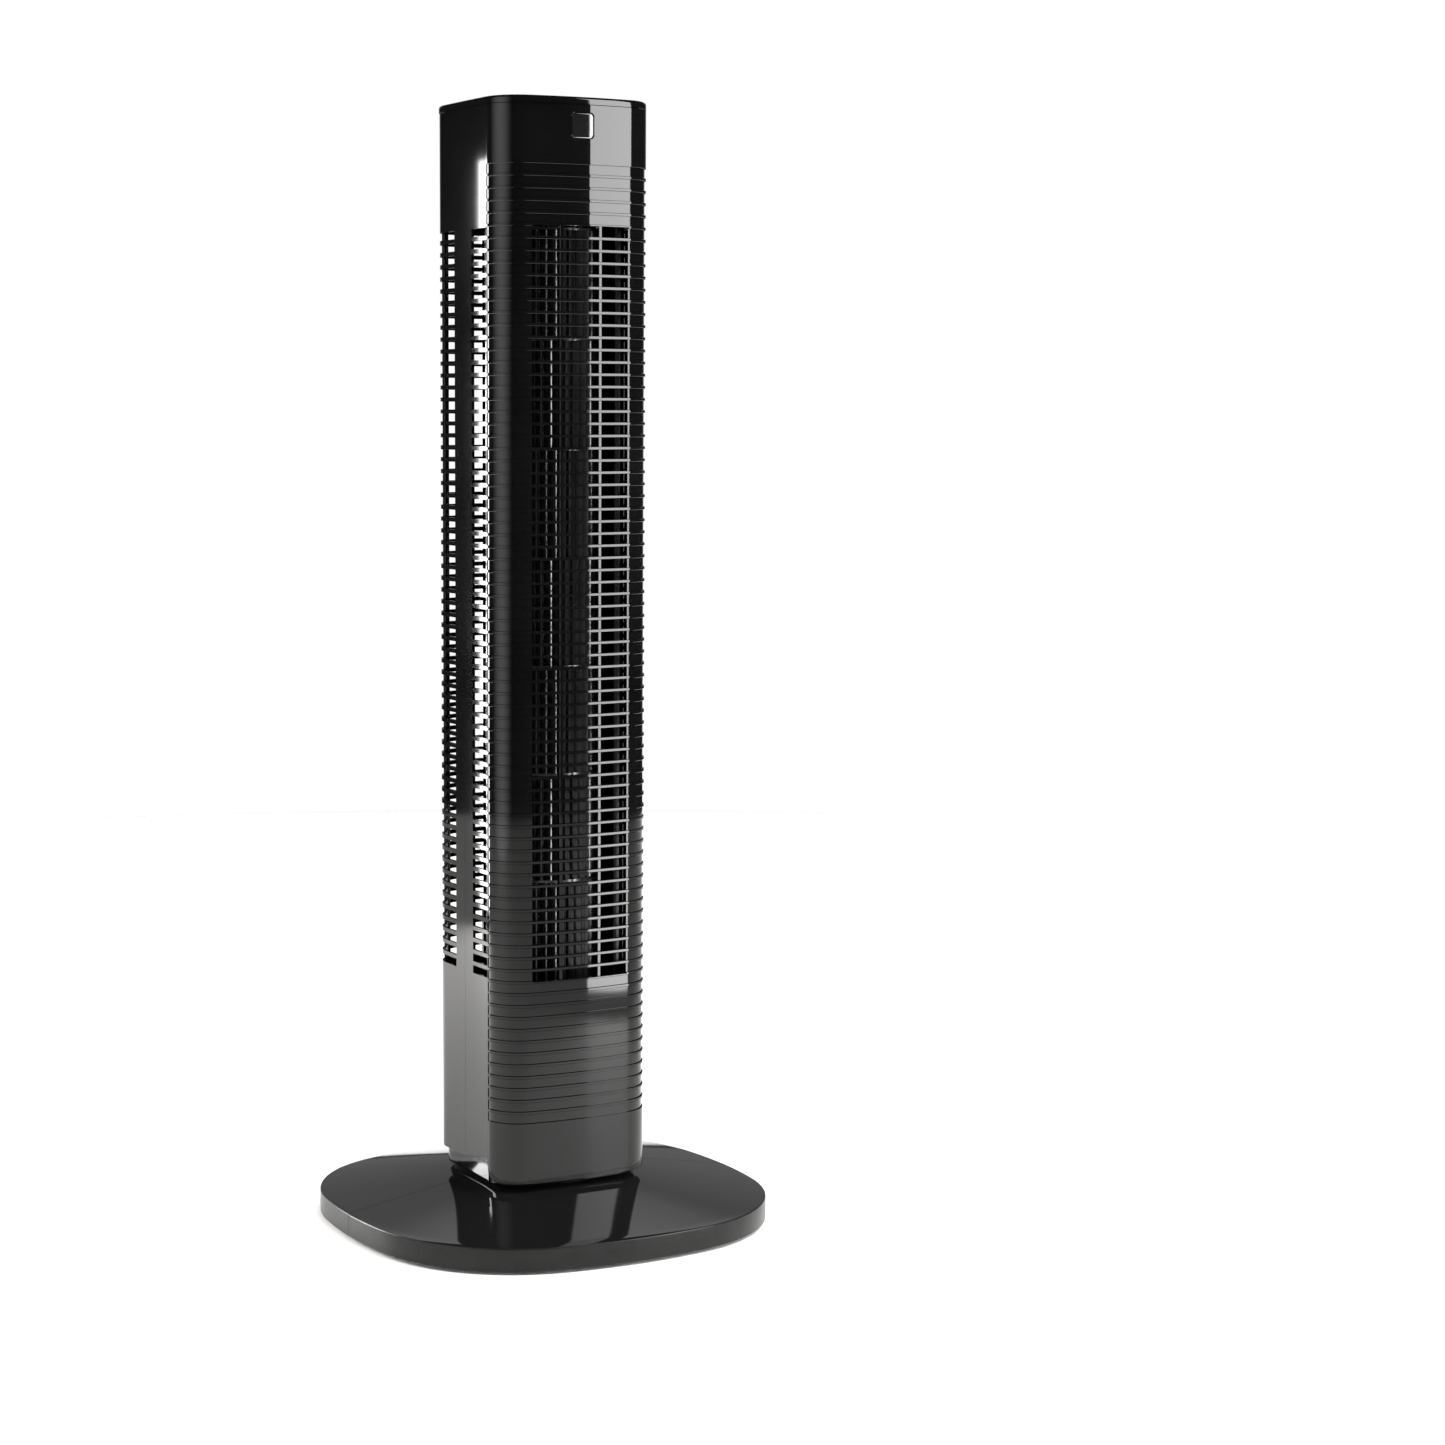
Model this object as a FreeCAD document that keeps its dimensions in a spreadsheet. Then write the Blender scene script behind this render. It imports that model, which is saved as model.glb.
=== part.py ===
"""Tower fan: parametric model, millimetres, +Z up, front towards -Y, origin under the base's centre.

The tower turns about Z on the base.  Inside it a seven-stage cross-flow impeller spins about the
same axis, and a small gear motor walks its pinion round a fixed gear on the base post.
"""
import FreeCAD, Part
import math
import os
import Sketcher

DOC = FreeCAD.newDocument("TowerFan")
SHEET = DOC.addObject("Spreadsheet::Sheet", "Sizes")
Vec = FreeCAD.Vector
Z_AXIS = Vec(0, 0, 1)

SIZES = {
    # tower section: a rounded square with bowed faces
    "tower_width": 147.0, "tower_depth": 144.4, "side_bow": 1800.0, "front_bow": 340.0,
    "tower_corner": 31.0,
    # tower heights, from the floor up
    "cover_bottom": 47.0, "housing_bottom": 58.0, "lowest_fin": 97.0, "fin_pitch": 10.0,
    "fin_count": 80, "window_low_fin": 12, "window_pitches": 62, "top_band": 47.0, "cap_rim": 6.0,
    # shells
    "cover_wall": 3.2, "fin_thickness": 2.4, "fin_proud": 1.2, "cover_edge": 42.0,
    "housing_wall": 2.5, "housing_step": 0.6, "shell_gap": 0.3, "window_width": 89.0,
    "window_rib": 3.0, "window_rib_place": 18.0, "rung_thickness": 3.4, "front_slot_edge": 16.0,
    "rear_slot_edge": 17.0, "rear_slot_end": 60.0, "rear_face_slots": 58.0, "rear_post": 4.0,
    "rear_post_place": 20.0, "notch_edge": 50.0,
    # base
    "base_width": 364.0, "base_depth": 352.0, "base_side_bow": 396.0, "base_front_bow": 404.0,
    "base_corner": 135.0, "foot_height": 3.0, "rim_height": 19.0, "dome_height": 19.5,
    "base_wall": 3.5, "ballast_thickness": 2.0, "foot_radius": 11.0, "foot_inset": 24.0,
    # pivot and swing drive
    "post_radius": 16.0, "post_bore": 12.0, "post_height": 66.0, "hub_radius": 28.0,
    "running_gap": 0.05, "glide_radius": 56.0, "glide_thickness": 1.8, "lift_gap": 0.2,
    "neck_inset": 5.5, "neck_wall": 2.5, "neck_floor": 3.0, "neck_top": 72.0, "collar_height": 12.0,
    "gear_module": 1.25, "fixed_teeth": 48, "pinion_teeth": 12, "gear_face": 6.0,
    "pinion_shaft": 3.0, "swing_motor_radius": 24.0, "swing_motor_height": 15.0,
    # impeller and its motor
    "impeller_radius": 48.0, "blade_depth": 11.0, "blade_thickness": 1.0, "blade_count": 36,
    "stage_count": 7, "disc_thickness": 2.0, "impeller_margin": 10.0, "shaft_radius": 4.0,
    "fan_motor_radius": 32.0, "fan_motor_height": 58.0, "deck_thickness": 2.0, "guide_wall": 2.0,
    "guide_gap": 10.0, "tongue_gap": 3.5, "bearing_radius": 8.0,
    # top: display, buttons and boards
    "cap_wall": 3.0, "lens_size": 20.0, "lens_depth": 19.0, "lens_height": 917.0,
    "lens_thickness": 2.0, "button_width": 14.0, "button_depth": 9.0, "button_pitch": 19.0,
    "button_travel": 0.8, "button_gap": 0.3, "button_row": -22.0, "board_thickness": 1.6,
    # carry handle
    "handle_width": 84.0, "handle_height": 32.0, "handle_depth": 22.0, "handle_place": 886.0,
    "handle_wall": 2.5,
    # cord inlet
    "inlet_radius": 3.6, "inlet_height": 12.0, "grommet_radius": 5.5, "grommet_flange": 7.5,
    "grommet_lip": 0.8,
    # fasteners
    "screw_radius": 1.5, "screw_head": 3.2, "boss_radius": 4.5, "boss_place": 52.0,
    "boss_reach": 5.5,
}
for row, (alias, number) in enumerate(SIZES.items(), start=1):
    SHEET.set(f"A{row}", alias)
    SHEET.set(f"B{row}", str(number))
    SHEET.setAlias(f"B{row}", alias)
DOC.recompute()


class Dim:
    """A length that carries its value now and the sheet formula that gives it."""

    def __init__(self, value, text=None):
        self.value = float(value)
        self.text = text if text is not None else repr(float(value))

    @staticmethod
    def of(item):
        return item if isinstance(item, Dim) else Dim(item)

    def _join(self, other, sign, result):
        return Dim(result, f"({self.text} {sign} {Dim.of(other).text})")

    def __add__(self, other):
        return self._join(other, "+", self.value + Dim.of(other).value)

    def __sub__(self, other):
        return self._join(other, "-", self.value - Dim.of(other).value)

    def __mul__(self, other):
        return self._join(other, "*", self.value * Dim.of(other).value)

    def __truediv__(self, other):
        return self._join(other, "/", self.value / Dim.of(other).value)

    def __neg__(self):
        return Dim(-self.value, f"(-1 * {self.text})")


def size(alias):
    """The sheet's cell of that name as a Dim."""
    return Dim(SIZES[alias], f"Sizes.{alias}")


# ---- levels and places that several pieces share ------------------------------------------------
ZERO = Dim(0)
PITCH = size("fin_pitch")
TOP_FIN = size("lowest_fin") + PITCH * (size("fin_count") - 1)
CAP_SEAM = TOP_FIN + size("top_band")
TOWER_TOP = CAP_SEAM + size("cap_rim")
WINDOW_LOW = size("lowest_fin") + PITCH * size("window_low_fin")
WINDOW_TALL = PITCH * size("window_pitches")
WINDOW_HIGH = WINDOW_LOW + WINDOW_TALL
WINDOW_HALF = size("window_width") / 2
FIN = size("fin_thickness")
SIDE_REACH = size("tower_width")            # how far a cutter starts outside the tower
RIM_TOP = size("foot_height") + size("rim_height")
CROWN = size("foot_height") + size("rim_height") + size("dome_height")
GLIDE_TOP = CROWN + size("glide_thickness")
NECK_BOTTOM = GLIDE_TOP + size("lift_gap")
NECK_FLOOR_TOP = NECK_BOTTOM + size("neck_floor")
COLLAR_TOP = NECK_BOTTOM + size("collar_height")
GEAR_TOP = size("post_height") - 1.0
GEAR_LOW = GEAR_TOP - size("gear_face")
GEAR_CENTRES = size("gear_module") * (size("fixed_teeth") + size("pinion_teeth")) / 2
SWING_MOTOR_LOW = GEAR_TOP + 3.0
IMPELLER_LENGTH = WINDOW_TALL + size("impeller_margin")
STAGE_TALL = IMPELLER_LENGTH / size("stage_count")
IMPELLER_LOW = WINDOW_LOW - 12.0
IMPELLER_HIGH = IMPELLER_LOW + IMPELLER_LENGTH
DECK_TOP = IMPELLER_LOW - 19.0
DECK_LOW = DECK_TOP - size("deck_thickness")
MOUNT_TALL = Dim(6.0)
FAN_MOTOR_TOP = DECK_LOW - MOUNT_TALL
FAN_MOTOR_LOW = FAN_MOTOR_TOP - size("fan_motor_height")
BEARING_PLATE_LOW = IMPELLER_HIGH + 7.0
BEARING_PLATE_TOP = BEARING_PLATE_LOW + 3.0
CAP_UNDERSIDE = TOWER_TOP - 1.0 - size("cap_wall")
BUTTON_TOP = TOWER_TOP - 0.2
STEM_LOW = CAP_UNDERSIDE - 8.0
SWITCH_TOP = STEM_LOW - size("button_travel") - 0.1
BOARD_TOP = SWITCH_TOP - 5.0
BOARD_LOW = BOARD_TOP - size("board_thickness")


class Outline:
    """A rounded square with bowed faces; every size is a Dim, so it can be inset or scaled."""

    def __init__(self, half_x, half_y, side_bow, front_bow, corner):
        self.parts = [Dim.of(part) for part in (half_x, half_y, side_bow, front_bow, corner)]

    def inset(self, amount):
        return Outline(*[part - amount for part in self.parts])

    def scaled(self, factor):
        return Outline(*[part * factor for part in self.parts])

    def arcs(self):
        """Eight arcs, counter-clockwise from the +X face, each tangent to the next."""
        half_x, half_y, side, front, corner = [part.value for part in self.parts]
        side_centre, front_centre = Vec(half_x - side, 0, 0), Vec(0, half_y - front, 0)
        line = front_centre - side_centre
        reach_a, reach_b = side - corner, front - corner
        along = (reach_a ** 2 - reach_b ** 2 + line.Length ** 2) / (2 * line.Length)
        across = math.sqrt(max(reach_a ** 2 - along ** 2, 0.0))
        unit = Vec(line).normalize()
        middle = side_centre + unit * along + Vec(-unit.y, unit.x, 0) * across
        tilt_side = math.atan2(middle.y, middle.x - side_centre.x)
        tilt_front = math.atan2(middle.x, middle.y - front_centre.y)
        quarter = math.pi / 2
        arcs = []
        for turn in range(4):
            centre = (side_centre, front_centre, -side_centre, -front_centre)[turn]
            radius = (side, front)[turn % 2]
            tilt = (tilt_side, tilt_front)[turn % 2]
            following = (tilt_front, tilt_side)[turn % 2]
            start = turn * quarter
            arcs.append((centre, radius, start - tilt, start + tilt))
            mirrored = Vec(middle.x * (1, -1, -1, 1)[turn], middle.y * (1, 1, -1, -1)[turn], 0)
            arcs.append((mirrored, corner, start + tilt, start + quarter - following))
        return [Part.ArcOfCircle(Part.Circle(c, Z_AXIS, r), a, b) for c, r, a, b in arcs]


TOWER = Outline(size("tower_width") / 2, size("tower_depth") / 2, size("side_bow"),
                size("front_bow"), size("tower_corner"))
BASE = Outline(size("base_width") / 2, size("base_depth") / 2, size("base_side_bow"),
               size("base_front_bow"), size("base_corner"))

# ---- building helpers ---------------------------------------------------------------------------
NODES = {}


def bind(item, prop, dim):
    """Set a property to a Dim and tie it to the sheet."""
    dim = Dim.of(dim)
    if "Sizes." in dim.text:
        item.setExpression(prop, dim.text)
    return dim.value


def node(label, item):
    """Name a finished sub-part; its label is its file's name."""
    item.Label = label
    NODES[label] = item
    return item


def place(item, x=ZERO, y=ZERO, z=ZERO, rotation=None):
    """Put an object at x, y, z, with the three places tied to the sheet."""
    values = [Dim.of(part).value for part in (x, y, z)]
    item.Placement = FreeCAD.Placement(Vec(*values), rotation or FreeCAD.Rotation())
    for axis, part in zip("xyz", (x, y, z)):
        bind(item, f"Placement.Base.{axis}", part)
    return item


def primitive(kind, name, sizes, x, y, z, rotation=None):
    item = DOC.addObject(f"Part::{kind}", name)
    for prop, dim in sizes.items():
        setattr(item, prop, Dim.of(dim).value)
        bind(item, prop, dim)
    return place(item, x, y, z, rotation)


def cylinder(name, radius, height, x=ZERO, y=ZERO, z=ZERO, rotation=None):
    return primitive("Cylinder", name, {"Radius": radius, "Height": height}, x, y, z, rotation)


def box(name, length, width, height, x=ZERO, y=ZERO, z=ZERO):
    """A box centred on x and y, standing on z."""
    sizes = {"Length": length, "Width": width, "Height": height}
    x, y = Dim.of(x) - Dim.of(length) / 2, Dim.of(y) - Dim.of(width) / 2
    return primitive("Box", name, sizes, x, y, z)


def cut(name, base, tool):
    item = DOC.addObject("Part::Cut", name)
    item.Base, item.Tool = base, tool
    return item


def fuse(name, shapes):
    item = DOC.addObject("Part::MultiFuse", name)
    item.Shapes = shapes
    return item


def common(name, shapes):
    item = DOC.addObject("Part::MultiCommon", name)
    item.Shapes = shapes
    return item


def group(name, shapes):
    """Separate identical solids kept together as one node."""
    item = DOC.addObject("Part::Compound", name)
    item.Links = shapes
    return item


def tube(name, outer, inner, height, x=ZERO, y=ZERO, z=ZERO):
    return cut(name, cylinder(f"{name}_outside", outer, height, x, y, z),
               cylinder(f"{name}_bore", inner, height, x, y, z))


def new_body(label):
    body = DOC.addObject("PartDesign::Body", label)
    return node(label, body)


def sketch_in(body, name, level=ZERO, role="XY_Plane"):
    """A sketch on one of the body's own origin planes, raised to a level."""
    sketch = body.newObject("Sketcher::SketchObject", name)
    plane = next(item for item in body.Origin.OriginFeatures if item.Role == role)
    sketch.AttachmentSupport = [(plane, "")]
    sketch.MapMode = "FlatFace"
    level = Dim.of(level)
    sketch.AttachmentOffset = FreeCAD.Placement(Vec(0, 0, level.value), FreeCAD.Rotation())
    bind(sketch, "AttachmentOffset.Base.z", level)
    return sketch


def constrain(sketch, kind, *parts, dim=None):
    """Add a constraint, and tie its size to the sheet when it has one."""
    if dim is None:
        return sketch.addConstraint(Sketcher.Constraint(kind, *parts))
    dim = Dim.of(dim)
    index = sketch.addConstraint(Sketcher.Constraint(kind, *parts, dim.value))
    if "Sizes." in dim.text:
        sketch.renameConstraint(index, f"size_{index}")
        sketch.setExpression(f"Constraints.size_{index}", dim.text)
    return index


def draw_outline(sketch, outline):
    """Draw a bowed rounded square: tangent arcs with centres on the axes."""
    first = sketch.GeometryCount
    for arc in outline.arcs():
        sketch.addGeometry(arc, False)
    for step in range(8):
        constrain(sketch, "Tangent", first + step, 2, first + (step + 1) % 8, 1)
    half_x, half_y, side, front, corner = outline.parts
    right, rear, left, fore = first, first + 2, first + 4, first + 6
    for face, axis in ((right, -1), (left, -1), (rear, -2), (fore, -2)):
        constrain(sketch, "PointOnObject", face, 3, axis)
    constrain(sketch, "DistanceX", right, 3, -1, 1, dim=side - half_x)
    constrain(sketch, "DistanceX", -1, 1, left, 3, dim=side - half_x)
    constrain(sketch, "DistanceY", rear, 3, -1, 1, dim=front - half_y)
    constrain(sketch, "DistanceY", -1, 1, fore, 3, dim=front - half_y)
    constrain(sketch, "Radius", right, dim=side)
    constrain(sketch, "Radius", rear, dim=front)
    constrain(sketch, "Radius", first + 1, dim=corner)
    for a, b in ((right, left), (rear, fore), (first + 1, first + 3), (first + 1, first + 5),
                 (first + 1, first + 7)):
        constrain(sketch, "Equal", a, b)


def draw_rectangle(sketch, x0, x1, y0, y1):
    first = sketch.GeometryCount
    x0, x1, y0, y1 = [Dim.of(part) for part in (x0, x1, y0, y1)]
    corners = [Vec(x.value, y.value, 0) for x, y in ((x0, y0), (x1, y0), (x1, y1), (x0, y1))]
    for step in range(4):
        sketch.addGeometry(Part.LineSegment(corners[step], corners[(step + 1) % 4]), False)
    for step in range(4):
        constrain(sketch, "Coincident", first + step, 2, first + (step + 1) % 4, 1)
        constrain(sketch, ("Horizontal", "Vertical")[step % 2], first + step)
    constrain(sketch, "DistanceX", -1, 1, first, 1, dim=x0)
    constrain(sketch, "DistanceY", -1, 1, first, 1, dim=y0)
    constrain(sketch, "DistanceX", -1, 1, first + 2, 1, dim=x1)
    constrain(sketch, "DistanceY", -1, 1, first + 2, 1, dim=y1)


def draw_circle(sketch, radius, x=ZERO, y=ZERO):
    x, y, radius = Dim.of(x), Dim.of(y), Dim.of(radius)
    circle = Part.Circle(Vec(x.value, y.value, 0), Z_AXIS, radius.value)
    index = sketch.addGeometry(circle, False)
    constrain(sketch, "Radius", index, dim=radius)
    constrain(sketch, "DistanceX", -1, 1, index, 3, dim=x)
    constrain(sketch, "DistanceY", -1, 1, index, 3, dim=y)


def feature(body, kind, sketch, length, reverse=False):
    """Pad or pocket a sketch by a length, along its normal unless reversed."""
    item = body.newObject(f"PartDesign::{kind}", f"{sketch.Name}_{kind.lower()}")
    item.Profile = sketch
    item.Length = Dim.of(length).value
    bind(item, "Length", length)
    item.Reversed = reverse
    return item


def pad(body, sketch, length):
    return feature(body, "Pad", sketch, length)


def pocket_up(body, sketch, length):
    """Remove material above the sketch: a pocket runs against the normal unless reversed."""
    return feature(body, "Pocket", sketch, length, reverse=True)


def ring(body, name, outline, outer, inner, low, high):
    """A wall between two insets of an outline, from one level to another."""
    sketch = sketch_in(body, name, low)
    draw_outline(sketch, outline.inset(outer))
    draw_outline(sketch, outline.inset(inner))
    return pad(body, sketch, Dim.of(high) - low)


def plate(body, name, outline, inset, low, high, holes=()):
    """A flat plate of an outline's shape, with round holes (radius, x, y)."""
    sketch = sketch_in(body, name, low)
    draw_outline(sketch, outline.inset(inset))
    for radius, x, y in holes:
        draw_circle(sketch, radius, x, y)
    return pad(body, sketch, Dim.of(high) - low)


def clear_box(body, name, x0, x1, y0, y1, low, high):
    """Remove a box of material from a body."""
    sketch = sketch_in(body, name, low)
    draw_rectangle(sketch, x0, x1, y0, y1)
    return pocket_up(body, sketch, Dim.of(high) - low)


def repeat_up(body, original, spacing, count):
    """Repeat a feature upwards at an even spacing."""
    item = body.newObject("PartDesign::LinearPattern", f"{original.Name}_row")
    item.Originals = [original]
    item.Direction = (original.Profile[0], ["N_Axis"])
    item.Mode = "Spacing"
    item.Offset = Dim.of(spacing).value
    bind(item, "Offset", spacing)
    item.Occurrences = int(round(Dim.of(count).value))
    bind(item, "Occurrences", count)
    body.Tip = item
    return item


def repeat_round(body, original, count):
    """Repeat a feature round the sketch's normal."""
    item = body.newObject("PartDesign::PolarPattern", f"{original.Name}_round")
    item.Originals = [original]
    item.Axis = (original.Profile[0], ["N_Axis"])
    item.Angle = 360
    item.Occurrences = int(round(Dim.of(count).value))
    bind(item, "Occurrences", count)
    body.Tip = item
    return item


# ---- tower shells -------------------------------------------------------------------------------
def front_grille():
    """Front cover: bands, proud fins and the open window, wrapped round both front corners."""
    body = new_body("front_grille")
    edge, wall, proud = size("cover_edge"), size("cover_wall"), size("fin_proud")
    ring(body, "cover_wall_ring", TOWER, ZERO, wall, size("cover_bottom"), CAP_SEAM)
    clear_box(body, "cover_rear_cut", -SIDE_REACH, SIDE_REACH, -edge, SIDE_REACH,
              size("cover_bottom"), CAP_SEAM)
    groove = sketch_in(body, "cover_groove", size("lowest_fin") + FIN / 2)
    draw_outline(groove, TOWER.inset(-2.0))
    draw_outline(groove, TOWER.inset(proud))
    repeat_up(body, pocket_up(body, groove, PITCH - FIN), PITCH, size("fin_count") - 1)
    opening = clear_box(body, "window_opening", -WINDOW_HALF, WINDOW_HALF, -SIDE_REACH,
                        -edge, WINDOW_LOW + FIN / 2, WINDOW_LOW + PITCH - FIN / 2)
    repeat_up(body, opening, PITCH, size("window_pitches"))
    for side, name in ((-1, "left_rib"), (1, "right_rib")):
        sketch = sketch_in(body, name, WINDOW_LOW)
        middle = size("window_rib_place") * side
        front = -(size("tower_depth") / 2 - wall + 0.8)
        half = size("window_rib") / 2
        draw_rectangle(sketch, middle - half, middle + half, front, front + 4.5)
        pad(body, sketch, WINDOW_TALL)
    notch = sketch_in(body, "foot_notch", -SIDE_REACH, "YZ_Plane")
    draw_rectangle(notch, -size("notch_edge"), ZERO, ZERO, size("housing_bottom"))
    pocket_up(body, notch, SIDE_REACH * 2)
    lens = size("lens_size") + size("shell_gap") * 2
    tall = size("lens_depth") + size("shell_gap") * 2
    clear_box(body, "lens_hole", -lens / 2, lens / 2, -SIDE_REACH, -edge,
              size("lens_height") - tall / 2, size("lens_height") + tall / 2)
    return body


def slot_rows(body, name, boxes):
    """Air slots: one sketch with every column, pocketed and repeated up the window's height."""
    half_rung = size("rung_thickness") / 2
    sketch = sketch_in(body, name, WINDOW_LOW + half_rung)
    for x0, x1, y0, y1 in boxes:
        draw_rectangle(sketch, x0, x1, y0, y1)
    opening = pocket_up(body, sketch, PITCH - half_rung * 2)
    repeat_up(body, opening, PITCH, size("window_pitches"))


BOSS_LEVELS = (size("housing_bottom") + 22.0, BEARING_PLATE_TOP + 16.0)
BOSS_SEAT = size("tower_depth") / 2 - 20.2      # where the front and rear screw towers meet
BEHIND_COVER = size("cover_wall") + size("shell_gap")
SIDE_OUT = size("tower_width") / 2 - 13.0
TURN_TO_REAR = FreeCAD.Rotation(Vec(1, 0, 0), -90)


def front_housing():
    """Front half shell: side walls with air slots, a frame behind the cover, and screw towers."""
    low, high, edge = size("housing_bottom"), CAP_SEAM, size("cover_edge")
    step, wall = size("housing_step"), size("housing_wall")
    walls = DOC.addObject("PartDesign::Body", "front_side_walls")
    ring(walls, "front_wall", TOWER, step, BEHIND_COVER + wall, low, high)
    inner = size("tower_width") / 2 - step - wall
    clear_box(walls, "front_wall_inside", -inner, inner, -(edge - 6.0), ZERO, low, high)
    over_neck = size("neck_top") + size("shell_gap")
    beside_neck = sketch_in(walls, "beside_neck", low)
    draw_outline(beside_neck, TOWER.inset(step + wall))
    pocket_up(walls, beside_neck, over_neck - low)
    fore, aft = -(edge - 5.0), -size("front_slot_edge")
    slot_rows(walls, "front_slot", [(-SIDE_REACH, -SIDE_OUT, fore, aft),
                                    (SIDE_OUT, SIDE_REACH, fore, aft)])
    side_depth = edge - size("shell_gap")
    sides = common("front_sides", [walls, box("front_sides_limit", SIDE_REACH, side_depth,
                                              high - low, ZERO, -side_depth / 2, low)])
    frame = DOC.addObject("PartDesign::Body", "front_frame")
    ring(frame, "frame_wall", TOWER, BEHIND_COVER, BEHIND_COVER + wall, over_neck, high)
    clear_box(frame, "front_window", -WINDOW_HALF, WINDOW_HALF, -SIDE_REACH, ZERO,
              WINDOW_LOW, WINDOW_HIGH)
    display = size("lens_size") / 2 + 6.0
    clear_box(frame, "display_window", -display, display, -SIDE_REACH, ZERO,
              size("lens_height") - display, CAP_SEAM)
    depth = size("tower_depth") / 2
    fronts = common("front_fronts", [frame, box("front_frame_limit", SIDE_REACH, depth - edge + 6.0,
                                                high - low, ZERO, -(depth + edge - 6.0) / 2, low)])
    start = depth - BEHIND_COVER - wall - 4.4
    towers = [cylinder(f"front_tower_{side}_{index}", size("boss_radius") - 0.5,
                       BOSS_SEAT - 0.3 + start, size("boss_place") * side, -start, level,
                       TURN_TO_REAR)
              for side in (-1, 1) for index, level in enumerate(BOSS_LEVELS)]
    return node("front_housing", fuse("front_housing_shell", [sides, fronts] + towers))


def rear_housing():
    """Rear half shell: air slots at the sides and back, handle opening and sunk screw wells."""
    body = new_body("rear_housing")
    low, high = size("housing_bottom"), CAP_SEAM
    step, wall = size("housing_step"), size("housing_wall")
    depth = size("tower_depth") / 2
    ring(body, "rear_wall", TOWER, step, step + wall, low, high)
    clear_box(body, "rear_wall_fore", -SIDE_REACH, SIDE_REACH, -SIDE_REACH, ZERO, low, high)
    post, middle, outer = size("rear_post") / 2, size("rear_post_place"), size("rear_face_slots")
    side_end, rear_start = size("rear_slot_end"), depth - 17.2
    slot_rows(body, "rear_slot",
              [(-SIDE_REACH, -SIDE_OUT, size("rear_slot_edge"), side_end),
               (SIDE_OUT, SIDE_REACH, size("rear_slot_edge"), side_end),
               (-outer, -(middle + post), side_end, SIDE_REACH),
               (-(middle - post), middle - post, rear_start, SIDE_REACH),
               (middle + post, outer, side_end, SIDE_REACH)])
    half_wide = size("handle_width") / 2 + size("shell_gap")
    half_tall = size("handle_height") / 2 + size("shell_gap")
    clear_box(body, "handle_opening", -half_wide, half_wide, rear_start, SIDE_REACH,
              size("handle_place") - half_tall, size("handle_place") + half_tall)
    walls, bores = (sketch_in(body, "well_wall", -(depth - 6.7), "XZ_Plane"),
                    sketch_in(body, "well_bore", -(BOSS_SEAT + 2.0), "XZ_Plane"))
    for sketch, radius in ((walls, size("boss_radius") + 0.5), (bores, size("screw_head") + 0.4)):
        for side in (-1, 1):
            for level in BOSS_LEVELS:
                draw_circle(sketch, radius, size("boss_place") * side, level)
    pad(body, walls, depth - 6.7 - BOSS_SEAT)
    feature(body, "Pocket", bores, Dim(40))
    return body


def carry_handle():
    """Grip cup that closes the rear housing's opening and follows its rear face."""
    blank = DOC.addObject("PartDesign::Body", "handle_blank")
    half = size("handle_height") / 2
    low, wall = size("handle_place") - half, size("handle_wall")
    plate(blank, "handle_blank_outline", TOWER, size("housing_step"), low, low + half * 2)
    rear = size("tower_depth") / 2
    deep = size("handle_depth") + wall
    block = box("handle_block", size("handle_width"), deep, half * 2, ZERO, rear - deep / 2, low)
    grip = box("handle_hollow", size("handle_width") - wall * 2, size("handle_depth"),
               half * 2 - wall * 2, ZERO, rear - size("handle_depth") / 2, low + wall)
    return node("carry_handle", cut("handle_cup", common("handle_outer", [blank, block]), grip))


def top_cover():
    """Cap with a rounded rim, a sunk control panel, button holes and board posts."""
    body = new_body("top_cover")
    cap = plate(body, "cap_outline", TOWER, ZERO, CAP_SEAM, TOWER_TOP)
    DOC.recompute()
    top_edges = [f"Edge{index}" for index, edge in enumerate(cap.Shape.Edges, start=1)
                 if abs(edge.BoundBox.ZMin - TOWER_TOP.value) < 0.01]
    rim = body.newObject("PartDesign::Fillet", "cap_rim_round")
    rim.Base = (cap, top_edges)
    rim.Radius = 2.5
    hollow = sketch_in(body, "cap_hollow", CAP_SEAM)
    draw_outline(hollow, TOWER.inset(size("cap_wall")))
    pocket_up(body, hollow, CAP_UNDERSIDE - CAP_SEAM)
    skirt_inset = BEHIND_COVER + size("housing_wall") + 0.4
    ring(body, "cap_skirt", TOWER, skirt_inset, skirt_inset + 2.0, CAP_SEAM - 6.0,
         CAP_UNDERSIDE)
    row, pitch = size("button_row"), size("button_pitch")
    reach = pitch * 2 + size("button_width")
    clear_box(body, "panel_recess", -reach, reach, row - 12.0, row + 12.0,
              CAP_UNDERSIDE + size("cap_wall"), TOWER_TOP)
    holes = sketch_in(body, "button_holes", CAP_UNDERSIDE)
    half_x = size("button_width") / 2 + size("button_gap")
    half_y = size("button_depth") / 2 + size("button_gap")
    for step in range(-2, 3):
        draw_rectangle(holes, pitch * step - half_x, pitch * step + half_x,
                       row - half_y, row + half_y)
    pocket_up(body, holes, size("cap_wall"))
    posts = sketch_in(body, "board_posts", BOARD_TOP)
    for side in (-1, 1):
        for y in (row - 13.0, row + 13.0):
            draw_circle(posts, 3.0, pitch * 2.7 * side, y)
    pad(body, posts, CAP_UNDERSIDE - BOARD_TOP)
    return body


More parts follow.
